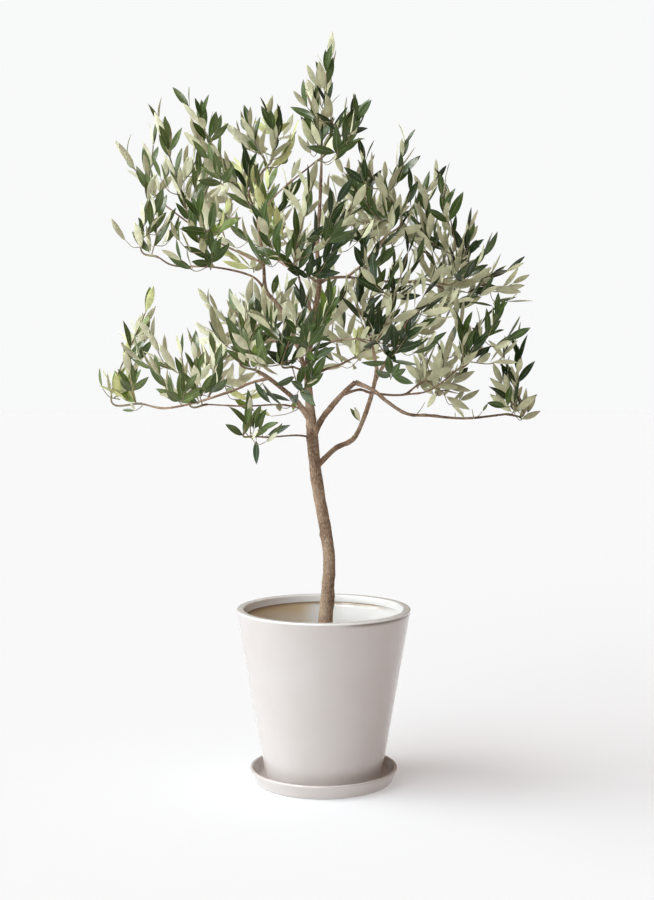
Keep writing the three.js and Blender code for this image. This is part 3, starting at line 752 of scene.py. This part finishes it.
def twigPoint(twig, share):
    if share < 0.5:
        return twig["start"] + (twig["middle"] - twig["start"]) * 2 * share
    return twig["middle"] + (twig["end"] - twig["middle"]) * (2 * share - 1)


def twigHeading(twig, share):
    early, late = twig["middle"] - twig["start"], twig["end"] - twig["middle"]
    return unit(early + (late - early) * share)


def sideOf(heading, angle):
    level = unit(np.array([heading[1], -heading[0], 0.001]))  # never zero, also for an upright heading
    across = unit(level - heading * (level @ heading))
    return across * math.cos(angle) + np.cross(heading, across) * math.sin(angle)


def twigFits(mass, twig):
    places = [twigPoint(twig, share) for share in growth["tested"]]
    room = growth["clearance"]
    return all(roomAt(mass, place) > room and limbDistance(place) > room for place in places)


def branchTwigs(mass, stem, count, seed, reach, thickness, span):
    # Side twigs of a stem, each shortened until it keeps to the mass's room.
    draw = draws(seed)
    first = 360 * draw()
    twigs = []
    for k in range(count):
        share = mix(span[0], span[1], (k + growth["stagger"] * draw()) / count)
        start = twigPoint(stem, share)
        heading = twigHeading(stem, share)
        side = sideOf(heading, math.radians(first + growth["turn"] * k + growth["turnRange"] * draw()))
        opening = math.radians(growth["open"] * within(growth["range"], draw))
        out = heading * math.cos(opening) + side * math.sin(opening)
        bent = unit(out + np.array([0, 0, growth["lift"]]))
        full = reach * within(growth["range"], draw)
        for shorter in growth["shorter"]:
            twig = bentTwig(start, out, bent, full * shorter, thickness)
            if twigFits(mass, twig):
                twigs.append(twig)
                break
    return twigs


def leafFits(mass, root, heading, across, length):
    half, widest = leafing["width"] * length / leafing["length"] / 2, leafing["widest"]
    belly = root + heading * length * widest
    corners = (root + heading * length, belly + across * half, belly - across * half)
    if any(roomAt(mass, corner) < leafing["margin"] for corner in corners):
        return False
    for share in leafing["tested"]:
        width = half * min(share / widest, (1 - share) / (1 - widest))
        if limbDistance(root + heading * length * share) < width + leafing["clearance"]:
            return False
    return True


def leavesOn(mass, twig, draw):
    # Pairs of leaves stand opposite each other, each pair a quarter turn on from the last.
    # A leaf is its root, its heading, the way across its blade and its length.
    count = max(1, int((twig["length"] - leafing["first"]) / leafing["step"]) + 1)
    leaves = []
    for n in range(count):
        share = (twig["length"] - (count - 1 - n) * leafing["step"] - leafing["rootDepth"]) / twig["length"]
        root = twigPoint(twig, share)
        heading = twigHeading(twig, share)
        turn = 90 * n + leafing["turnRange"] * draw()
        for half in (0, 180):
            wide = mix(leafing["open"], leafing["openTip"], share)
            opening = math.radians(wide * within(leafing["openRange"], draw))
            length = leafing["length"] * within(leafing["lengthRange"], draw)
            length *= mix(*leafing["lengthAlong"], share)
            for more, part in leafing["tries"]:
                side = sideOf(heading, math.radians(turn + half + more))
                out = heading * math.cos(part * opening) + side * math.sin(part * opening)
                out = unit(out + np.array([0, 0, leafing["lift"]]))
                across = unit(np.cross(out, heading))
                if leafFits(mass, root, out, across, length):
                    leaves.append((root, out, across, length))
                    break
    return leaves


def growMass(mass):
    length = np.linalg.norm(mass["end"] - mass["start"])
    middle = mass["start"] + mass["heading"] * growth["stemBend"] * length
    stem = newTwig(mass["start"], middle, mass["end"], length, growth["stemThickness"])
    twigs = branchTwigs(mass, stem, mass["twigs"], mass["seed"], mass["spread"] * growth["reach"],
                        growth["sideThickness"], mass["span"])
    fine = []
    for k, twig in enumerate(twigs):
        seed = mass["seed"] + growth["fineSeed"] + k
        fine += branchTwigs(mass, twig, growth["fineTwigs"], seed, twig["length"] * growth["fineReach"],
                            growth["fineThickness"], growth["fineSpan"])
    draw = draws(mass["seed"] + leafing["seed"])
    grown = []
    for twig in [stem] + twigs + fine:
        leaves = leavesOn(mass, twig, draw)
        if twig is stem or len(leaves) > 1:
            grown.append({"twig": twig, "leaves": leaves})
    return grown


# Single leaves and bare twigs on the lower limbs, away from the masses of foliage: the limb, the share
# of its length where the twig leaves it, the twig's way, reach and tint, and its leaves. Each of these
# has its share along the twig, way, length, and the side that faces the front, 1 for the upper one.
strays = [
    ("under_left", 0.92, (0.04, -0.3, -1), 4, "deep", [(1, (0.02, -0.2, -1), 35, 1)]),
    ("under_left", 0.76, (0.9, -0.4, 0.4), 4, "deep", [(1, (0.9, -0.15, 0.38), 38, 1)]),
    ("under_left", 0.80, (0.1, -0.2, 1), 6, "olive", [(1, (-0.35, -0.1, 1), 18, 1)]),
    ("low_left", 0.28, (-0.95, -0.25, -0.4), 46, "young",
     [(0.3, (0.25, -0.6, 1), 22, 1), (1, (-0.8, -0.2, 0.5), 20, -1)]),
    ("rising_right", 0.5, (-0.5, -0.6, 0.6), 4, "silver",
     [(1, (-0.85, -0.1, 1), 26, 1), (1, (-0.45, -0.2, 1), 26, -1)]),
    ("low_right_reach", 0.575, (0.57, -0.1, 0.75), 22, None, []),
    ("low_right_reach", 0.79, (0.02, -0.2, 1), 8, None, []),
    ("low_right_reach", 0.87, (-0.2, -0.1, 0.8), 13, None, []),
    ("low_right_reach", 0.88, (0.67, -0.2, 0.6), 12, "silver", [(1, (0.7, -0.1, 1), 15, 1)]),
    ("low_right_reach", 0.99, (1, -0.1, -0.2), 20, "deep", [(1, (0.6, 0, -0.5), 9, 1)]),
    ("low_left_reach", 0.99, (-0.75, -0.1, -0.75), 15, "silver",
     [(1, (-1, -0.1, 0.12), 20, 1), (1, (-0.5, -0.3, 0.9), 16, -1)]),
]
strayShape = {"thickness": (1.3, 0.9), "rise": 0.25, "faceUp": 0.4}


def growStray(limb, share, way, reach, tint, rows):
    out = unit(np.array(way, float))
    bent = unit(out + np.array([0, 0, strayShape["rise"]]))
    start = curvePoint(limbs[limb]["path"], share)
    twig = bentTwig(start, out, bent, reach, strayShape["thickness"])
    leaves = []
    for share, way, length, shown in rows:
        heading = unit(np.array(way, float))
        across = unit(np.cross(heading, np.array([0, -shown, strayShape["faceUp"] * shown])))
        leaves.append((twigPoint(twig, share), heading, across, length))
    return {"twig": twig, "leaves": leaves, "tint": tint}


sprays = [spray for mass in makeMasses() for spray in growMass(mass)]
sprays += [growStray(*row) for row in strays]
leafCount = sum(len(spray["leaves"]) for spray in sprays)
print("tree grown:", len(limbs), "limbs,", len(sprays), "twigs,", leafCount, "leaves")


# Bark

barkLook = {
    # crack, body and pale ridge, each from its share of the grain on
    "tones": [(0.39, (0.075, 0.044, 0.028)), (0.48, (0.235, 0.150, 0.096)), (0.60, (0.470, 0.345, 0.245))],
    "grain": 520, "grainDetail": 6.0, "grainRoughness": 0.65,
    "stretch": (1, 1, 0.55),  # the grain runs up the stem
    "blotch": 26, "blotchDetail": 2.0,  # broad patches to the metre
    "lichen": (0.390, 0.330, 0.185), "spots": 260, "spotDetail": 1.0, "spotFrom": (0.69, 0.80),
    "roughness": 0.85, "gloss": 0.2, "depth": 0.0009,
}
barkRelief = {
    "ringStep": 1.5,  # along a limb
    "fewestRings": 8, "trunkSides": 44, "boughSides": 20,
    "slender": 0.78,  # of a bough's packed thickness
    "furrow": (0.34, 0.50, 0.30),  # depth, and how fine it is across and along
    "lump": (0.60, 0.12, 0.06),
    "fullRadius": 7,  # a thinner limb has a shallower relief
    "knotSpacing": 21, "knotHeight": 1.1, "knotWidth": 4.5, "knotStrength": (0.5, 1.5),
    "knotReach": 2,  # its half height in knot widths
    "collar": 0.2, "collarLength": 9,  # how much a bough swells where it leaves its parent
    "insideParent": 0.9,  # this share of the parent's radius hides its foot
    "seed": 71, "seedStep": 3,  # the trunk's, and from limb to limb
}


def makeBark():
    look = barkLook
    material, shader = newFinish("oliveBark", Roughness=look["roughness"], Specular_IOR_Level=look["gloss"])
    place = objectPlace(shader, look["stretch"])
    grain = noiseAt(place, look["grain"], look["grainDetail"], look["grainRoughness"])
    both = maths("ADD", grain, noiseAt(place, look["blotch"], look["blotchDetail"]))
    colour = colourBetween(product(both, 0.5), look["tones"])
    lichen = mapped(noiseAt(place, look["spots"], look["spotDetail"]), look["spotFrom"])
    finishShader(shader, colourOver(lichen, colour, look["lichen"]), grain, look["depth"])
    return material


def ringFrames(points):
    ways = np.gradient(points, axis=0)
    ways /= np.linalg.norm(ways, axis=1)[:, None]
    across = np.array([1, 0.2, 0.1])  # any way that no limb follows
    sides = []
    for way in ways:
        across = unit(across - way * (across @ way))
        sides.append(across)
    sides = np.array(sides)
    return sides, np.cross(ways, sides)


def barkTube(limb, sides, seed):
    # One limb with its relief: corners and faces of a closed tube.
    relief = barkRelief
    reach = np.linalg.norm(np.diff(limb["points"], axis=0), axis=1).sum()
    count = max(relief["fewestRings"], round(reach / relief["ringStep"]))
    shares = np.linspace(0, 1, count + 1)
    points, radii = tubeAlong(limb["path"], limb["thickness"], shares)
    along = shares * reach
    if limb["parent"]:
        outside = along - limb["parent"]["radii"].max() * relief["insideParent"]
        radii *= relief["slender"]
        radii *= 1 + relief["collar"] * np.exp(-np.clip(outside, 0, None) / relief["collarLength"])
    across, beside = ringFrames(points)
    angles = np.linspace(0, 2 * math.pi, sides, endpoint=False)
    draw = draws(seed)
    knots = [(draw() * reach, draw() * 2 * math.pi, within(relief["knotStrength"], draw))
             for _ in range(int(reach / relief["knotSpacing"]))]
    corners = []
    for i, radius in enumerate(radii):
        size = min(1, radius / relief["fullRadius"])
        for angle in angles:
            x, y = radius * math.cos(angle), radius * math.sin(angle)
            rough = 0
            for depth, fineAcross, fineAlong in (relief["furrow"], relief["lump"]):
                at = Vector((x * fineAcross, y * fineAcross, along[i] * fineAlong + seed))
                rough += depth * noise.noise(at)
            out = radius + size * rough
            for place, turn, strength in knots:
                up = (along[i] - place) / relief["knotWidth"]
                if abs(up) < relief["knotReach"]:
                    aside = math.remainder(angle - turn, 2 * math.pi) * radius / relief["knotWidth"]
                    out += size * strength * relief["knotHeight"] * math.exp(-up * up - aside * aside)
            corners.append(points[i] + out * (across[i] * math.cos(angle) + beside[i] * math.sin(angle)))
    foot = len(corners)
    corners += [points[0], points[-1]]
    rings = [range(i * sides, (i + 1) * sides) for i in range(count + 1)]
    return corners, facesAlong([[foot] * sides] + rings + [[foot + 1] * sides])


def joinTubes(name, sides, names, seed):
    corners, faces = [], []
    for limb in names:
        first = len(corners)
        places, sheets = barkTube(limbs[limb], sides, seed)
        seed += barkRelief["seedStep"]
        corners += [Vector(place) * mm for place in places]
        faces += [[first + corner for corner in face] for face in sheets]
    return newPiece(name, corners, faces, bark)


bark = makeBark()
trunkPiece = joinTubes("bark_trunk", barkRelief["trunkSides"], ["trunk"], barkRelief["seed"])
boughPiece = joinTubes("bark_boughs", barkRelief["boughSides"], boughRows,
                       barkRelief["seed"] + barkRelief["seedStep"])
print("bark made")


# Geometry Nodes

def newTree(name, sockets):
    tree = bpy.data.node_groups.new(name, "GeometryNodeTree")
    tree.interface.new_socket("Geometry", in_out="INPUT", socket_type="NodeSocketGeometry")
    for label, kind in sockets.items():
        tree.interface.new_socket(label, in_out="INPUT", socket_type="NodeSocket" + kind)
    tree.interface.new_socket("Geometry", in_out="OUTPUT", socket_type="NodeSocketGeometry")
    return tree, addNode(tree, "NodeGroupInput").outputs


def attribute(tree, name, kind):
    return nodeValue(tree, "GeometryNodeInputNamedAttribute", {"Name": name}, "Attribute", data_type=kind)


def setAttribute(mesh, name, kind, domain, values):
    mesh.attributes.new(name, kind, domain).data.foreach_set("value", values)


def endTree(tree, geometry, finishes):
    # Every tree ends here: the instances become real, and each finish goes on its own faces.
    shown = nodeValue(tree, "GeometryNodeRealizeInstances", {"Geometry": geometry})
    for finish, faces in finishes:
        inputs = {"Geometry": shown, "Material": finish}
        if faces:
            inputs["Selection"] = attribute(tree, faces, "BOOLEAN")
        shown = nodeValue(tree, "GeometryNodeSetMaterial", inputs)
    addNode(tree, "NodeGroupOutput", {"Geometry": shown})


def runTree(piece, tree, values):
    # Sets the tree's inputs, runs it on the piece and keeps the result as a plain mesh.
    modifier = piece.modifiers.new(tree.name, "NODES")
    modifier.node_group = tree
    for socket in tree.interface.items_tree:
        if socket.in_out == "INPUT" and socket.name in values:
            modifier[socket.identifier] = values[socket.name]
    graph = bpy.context.evaluated_depsgraph_get()
    result = bpy.data.meshes.new_from_object(piece.evaluated_get(graph), depsgraph=graph)
    piece.modifiers.clear()
    result.name = piece.name
    piece.data = result
    return piece


# Soil crumbs

crumbs = {"toSquareMetre": 30000, "size": 2.4, "smallest": 0.35, "steep": 0.8, "turn": 6.28, "seed": 5}


def addCrumbs():
    tree, inputs = newTree("crumbTree", {
        "Density": "Float", "Size": "Float", "Smallest": "Float", "Seed": "Int", "Soil": "Material",
    })
    rise = axesOf(nodeValue(tree, "GeometryNodeInputNormal"))["Z"]
    points = nodeValue(tree, "GeometryNodeDistributePointsOnFaces", {
        "Mesh": inputs["Geometry"], "Selection": maths("GREATER_THAN", rise, crumbs["steep"]),
        "Density": inputs["Density"], "Seed": inputs["Seed"],
    }, "Points")
    ball = nodeValue(tree, "GeometryNodeMeshIcoSphere", {"Radius": inputs["Size"], "Subdivisions": 1})
    share = nodeValue(tree, "FunctionNodeRandomValue", {
        "Min": inputs["Smallest"], "Seed": inputs["Seed"],
    }, 1, data_type="FLOAT")
    turn = nodeValue(tree, "FunctionNodeRandomValue", {
        "Max": [crumbs["turn"]] * 3, "Seed": inputs["Seed"],
    }, "Value", data_type="FLOAT_VECTOR")
    grains = nodeValue(tree, "GeometryNodeInstanceOnPoints", {
        "Points": points, "Instance": ball, "Rotation": turn, "Scale": share,
    })
    both = addNode(tree, "GeometryNodeJoinGeometry")
    for part in (grains, inputs["Geometry"]):
        tree.links.new(part, both.inputs[0])
    endTree(tree, both.outputs[0], [(inputs["Soil"], None)])
    return runTree(soilPiece, tree, {
        "Density": crumbs["toSquareMetre"], "Size": crumbs["size"] * mm,
        "Smallest": crumbs["smallest"], "Seed": crumbs["seed"], "Soil": soilFinish,
    })


soilPiece = addCrumbs()
print("soil crumbs made:", len(soilPiece.data.polygons), "faces with the soil")


# Twigs

twigShape = {
    "ringStep": 3.0, "fewestRings": 5, "sides": 7,
    "knuckle": 0.35, "knuckleLength": 1.6,  # how much it swells at a pair of leaves
}
twigLook = {
    "colours": ((0.150, 0.088, 0.050), (0.300, 0.270, 0.150)), "span": (0.38, 0.6),
    "grain": 90, "detail": 4.0, "depth": 0.0003, "roughness": 0.7, "gloss": 0.3,
}


def makeTwigs():
    # Each twig is a line of points with its thickness.
    corners, edges, thicknesses = [], [], []
    for spray in sprays:
        twig = spray["twig"]
        path = np.array([twig["start"], twig["middle"], twig["end"]])
        count = max(twigShape["fewestRings"], round(twig["length"] / twigShape["ringStep"]))
        roots = [np.linalg.norm(leaf[0] - twig["start"]) for leaf in spray["leaves"]]
        for k in range(count + 1):
            share = k / count
            width = mix(*twig["thickness"], share)
            for root in roots[::2]:
                away = (share * twig["length"] - root) / twigShape["knuckleLength"]
                width += twigShape["knuckle"] * math.exp(-away ** 2)
            if k:
                edges.append((len(corners) - 1, len(corners)))
            corners.append(Vector(curvePoint(path, share)) * mm)
            thicknesses.append(width / 2 * mm)
    lines = newMesh("leafy_twigs", corners, edges=edges)
    setAttribute(lines, "twigRadius", "FLOAT", "POINT", thicknesses)
    tree, inputs = newTree("twigTree", {"Sides": "Int", "Bark": "Material"})
    tube = nodeValue(tree, "GeometryNodeCurveToMesh", {
        "Curve": nodeValue(tree, "GeometryNodeMeshToCurve", {"Mesh": inputs["Geometry"]}),
        "Profile Curve": nodeValue(tree, "GeometryNodeCurvePrimitiveCircle", {
            "Resolution": inputs["Sides"], "Radius": 1.0,
        }),
        "Scale": attribute(tree, "twigRadius", "FLOAT"), "Fill Caps": True,
    })
    endTree(tree, tube, [(inputs["Bark"], None)])
    values = {"Sides": twigShape["sides"], "Bark": grainyFinish("youngTwigBark", twigLook)}
    piece = runTree(newObject("leafy_twigs", lines), tree, values)
    piece.data.shade_smooth()
    return piece


twigPiece = makeTwigs()
print("twigs made:", len(twigPiece.data.polygons), "faces")


# Leaves

leafBlade = {
    "length": 46, "width": 12, "thickness": 0.6, "rib": 0.7,
    "ribMost": 0.6,  # of the half width
    # share of the length and of the half width
    "outline": [
        (0.07, 0.09), (0.16, 0.46), (0.28, 0.80), (0.41, 0.97),
        (0.54, 1.0), (0.67, 0.88), (0.79, 0.65), (0.90, 0.35),
    ],
    # bend and twist along the blade and fold along the rib, in degrees
    "shapes": [(-14, 4, 12), (10, -12, 16), (-26, 14, 8), (22, 6, 14), (2, -22, 20), (-8, 26, 10)],
}
# Upper side and underside of each tint's leaves, and the share of sprays that have it.
leafTints = {
    "silver": ((0.110, 0.150, 0.045), (0.730, 0.715, 0.510), 0.22),
    "young": ((0.190, 0.265, 0.045), (0.620, 0.630, 0.290), 0.10),
    "olive": ((0.056, 0.092, 0.018), (0.630, 0.615, 0.410), 0.34),
    "deep": ((0.022, 0.044, 0.010), (0.500, 0.490, 0.310), 0.34),
}
leafLook = {
    "span": (0.35, 0.65), "grain": 70, "detail": 2.0, "fine": 900, "depth": 0.0001, "strength": 0.5,
    "mottle": 0.16,  # how far a colour wanders
    "ribUnder": 0.16,  # how much of the underside's colour the rib has
    "sides": {"Upper": (0.26, 0.32), "Under": (0.65, 0.15), "Rib": (0.5, 0.3)},  # roughness and gloss
    "paintedLightToLeft": 0.0021,  # painted light: paler tints with each mm towards -X, where the plant gets its light
}


def makeLeafFinishes(tint):
    upper, under, _ = leafTints[tint]
    rib = [mix(one, other, leafLook["ribUnder"]) for one, other in zip(upper, under)]
    made = {}
    for (side, (roughness, gloss)), colour in zip(leafLook["sides"].items(), (upper, under, rib)):
        wander = (1 - leafLook["mottle"], 1 + leafLook["mottle"])
        colours = [[channel * change for channel in colour] for change in wander]
        look = {**leafLook, "colours": colours, "roughness": roughness, "gloss": gloss}
        made[side] = grainyFinish(tint + "Leaf" + side, look)
    return made


def makeBlade(name, bendBy, twistBy, fold):
    # A thin closed lance shape with its root at 0, its tip towards +Y and its upper side towards +Z.
    # Each section has five corners: margin, rib, rib, margin and the middle of the underside.
    length, breadth = leafBlade["length"] * mm, leafBlade["width"] * mm / 2
    thick, rib = leafBlade["thickness"] * mm / 2, leafBlade["rib"] * mm / 2
    corners = [(0, 0, 0)]
    place = Vector((0, 0, 0))
    last = 0
    for share, width in leafBlade["outline"] + [(1, 0)]:
        pitch = math.radians(bendBy * (share + last) / 2)
        place += Vector((0, math.cos(pitch), math.sin(pitch))) * (share - last) * length
        last = share
        if not width:
            corners.append(tuple(place))
            break
        wide = breadth * width
        rise = wide * math.tan(math.radians(fold))
        core = min(rib, wide * leafBlade["ribMost"])
        section = [(-wide, rise), (-core, thick), (core, thick), (wide, rise), (0, -thick)]
        turn = Matrix.Rotation(math.radians(twistBy) * share, 3, "Y")
        corners += [tuple(place + turn @ Vector((x, 0, z))) for x, z in section]
    count = len(leafBlade["outline"])
    rings = [[0] * 5] + [range(1 + i * 5, 6 + i * 5) for i in range(count)] + [[len(corners) - 1] * 5]
    faces, under, middle = [], [], []
    for lower, upper in zip(rings, rings[1:]):
        for k in range(5):
            n = (k + 1) % 5
            a, b, c, d = lower[k], lower[n], upper[n], upper[k]
            # both sides of the blade are split the same way, from the margin inwards, so they never cross
            halves = ((a, b, d), (b, c, d)) if k in (2, 4) else ((a, b, c), (a, c, d))
            for half in halves:
                if len(set(half)) == 3:
                    faces.append(half)
                    under.append(k > 2)
                    middle.append(k == 1)
    mesh = newMesh(name, corners, faces)
    mesh.shade_smooth()
    margin = {(1 + i * 5 + k, 6 + i * 5 + k) for i in range(count - 1) for k in (0, 3)}
    sharp = [tuple(sorted(edge.vertices)) in margin for edge in mesh.edges]
    setAttribute(mesh, "underside", "BOOLEAN", "FACE", under)
    setAttribute(mesh, "onRib", "BOOLEAN", "FACE", middle)
    setAttribute(mesh, "sharp_edge", "BOOLEAN", "EDGE", sharp)
    return bpy.data.objects.new(name, mesh)


def leafTree():
    tree, inputs = newTree("leafTree", {
        "Blades": "Collection", "Size": "Float",
        "Upper": "Material", "Under": "Material", "Rib": "Material",
    })
    blades = nodeValue(tree, "GeometryNodeCollectionInfo", {
        "Collection": inputs["Blades"], "Separate Children": True, "Reset Children": True,
    })
    leaves = nodeValue(tree, "GeometryNodeInstanceOnPoints", {
        "Points": inputs["Geometry"], "Instance": blades, "Pick Instance": True,
        "Instance Index": attribute(tree, "leafShape", "INT"),
        "Rotation": attribute(tree, "leafTurn", "QUATERNION"),
        "Scale": product(attribute(tree, "leafScale", "FLOAT"), inputs["Size"]),
    })
    endTree(tree, leaves, [
        (inputs["Upper"], None), (inputs["Under"], "underside"), (inputs["Rib"], "onRib"),
    ])
    return tree


def tintOf(spray, draw):
    # painted light: sprays further towards -X more often get the paler tints
    share = draw() + leafLook["paintedLightToLeft"] * spray["twig"]["middle"][0]
    for tint, (_, _, part) in leafTints.items():
        share -= part
        if share < 0:
            break
    return tint


def makeLeaves():
    blades = bpy.data.collections.new("leafBlades")
    for k, shape in enumerate(leafBlade["shapes"]):
        blades.objects.link(makeBlade("blade%d" % k, *shape))
    draw = draws(leafing["seed"])
    dealt = {tint: [] for tint in leafTints}
    for spray in sprays:
        dealt[spray.get("tint") or tintOf(spray, draw)] += spray["leaves"]
    tree = leafTree()
    pieces = []
    for tint, leaves in dealt.items():
        points = newMesh(tint + "_leaves", [Vector(leaf[0]) * mm for leaf in leaves])
        turns = []
        for _, heading, across, _ in leaves:
            axes = (across, heading, np.cross(across, heading))
            turns.extend(Matrix([Vector(axis) for axis in axes]).transposed().to_quaternion())
        shapes = [int(draw() * len(leafBlade["shapes"])) for _ in leaves]
        scales = [length / leafBlade["length"] for _, _, _, length in leaves]
        setAttribute(points, "leafTurn", "QUATERNION", "POINT", turns)
        setAttribute(points, "leafShape", "INT", "POINT", shapes)
        setAttribute(points, "leafScale", "FLOAT", "POINT", scales)
        values = {"Blades": blades, "Size": 1.0, **makeLeafFinishes(tint)}
        pieces.append(runTree(newObject(tint + "_leaves", points), tree, values))
    return pieces


leafPieces = makeLeaves()
print("leaves made:", [(piece.name, len(piece.data.polygons)) for piece in leafPieces])


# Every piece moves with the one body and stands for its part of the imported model

foliageNodes = [name for name in frame["nodes"] if name.startswith("foliage_")]
standsFor = [
    (saucerPiece, "glaze", ["saucer"]),
    (potPiece, "glaze", ["pot"]),
    (soilPiece, "soil", ["soil"]),
    (trunkPiece, "bark", ["trunk"]),
    (boughPiece, "bark", ["bough_" + name for name in boughRows]),
    (twigPiece, "bark", foliageNodes),
] + [(piece, "leaves", foliageNodes) for piece in leafPieces]
for piece, slot, nodes in standsFor:
    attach(piece, "root")
    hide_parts(*nodes)
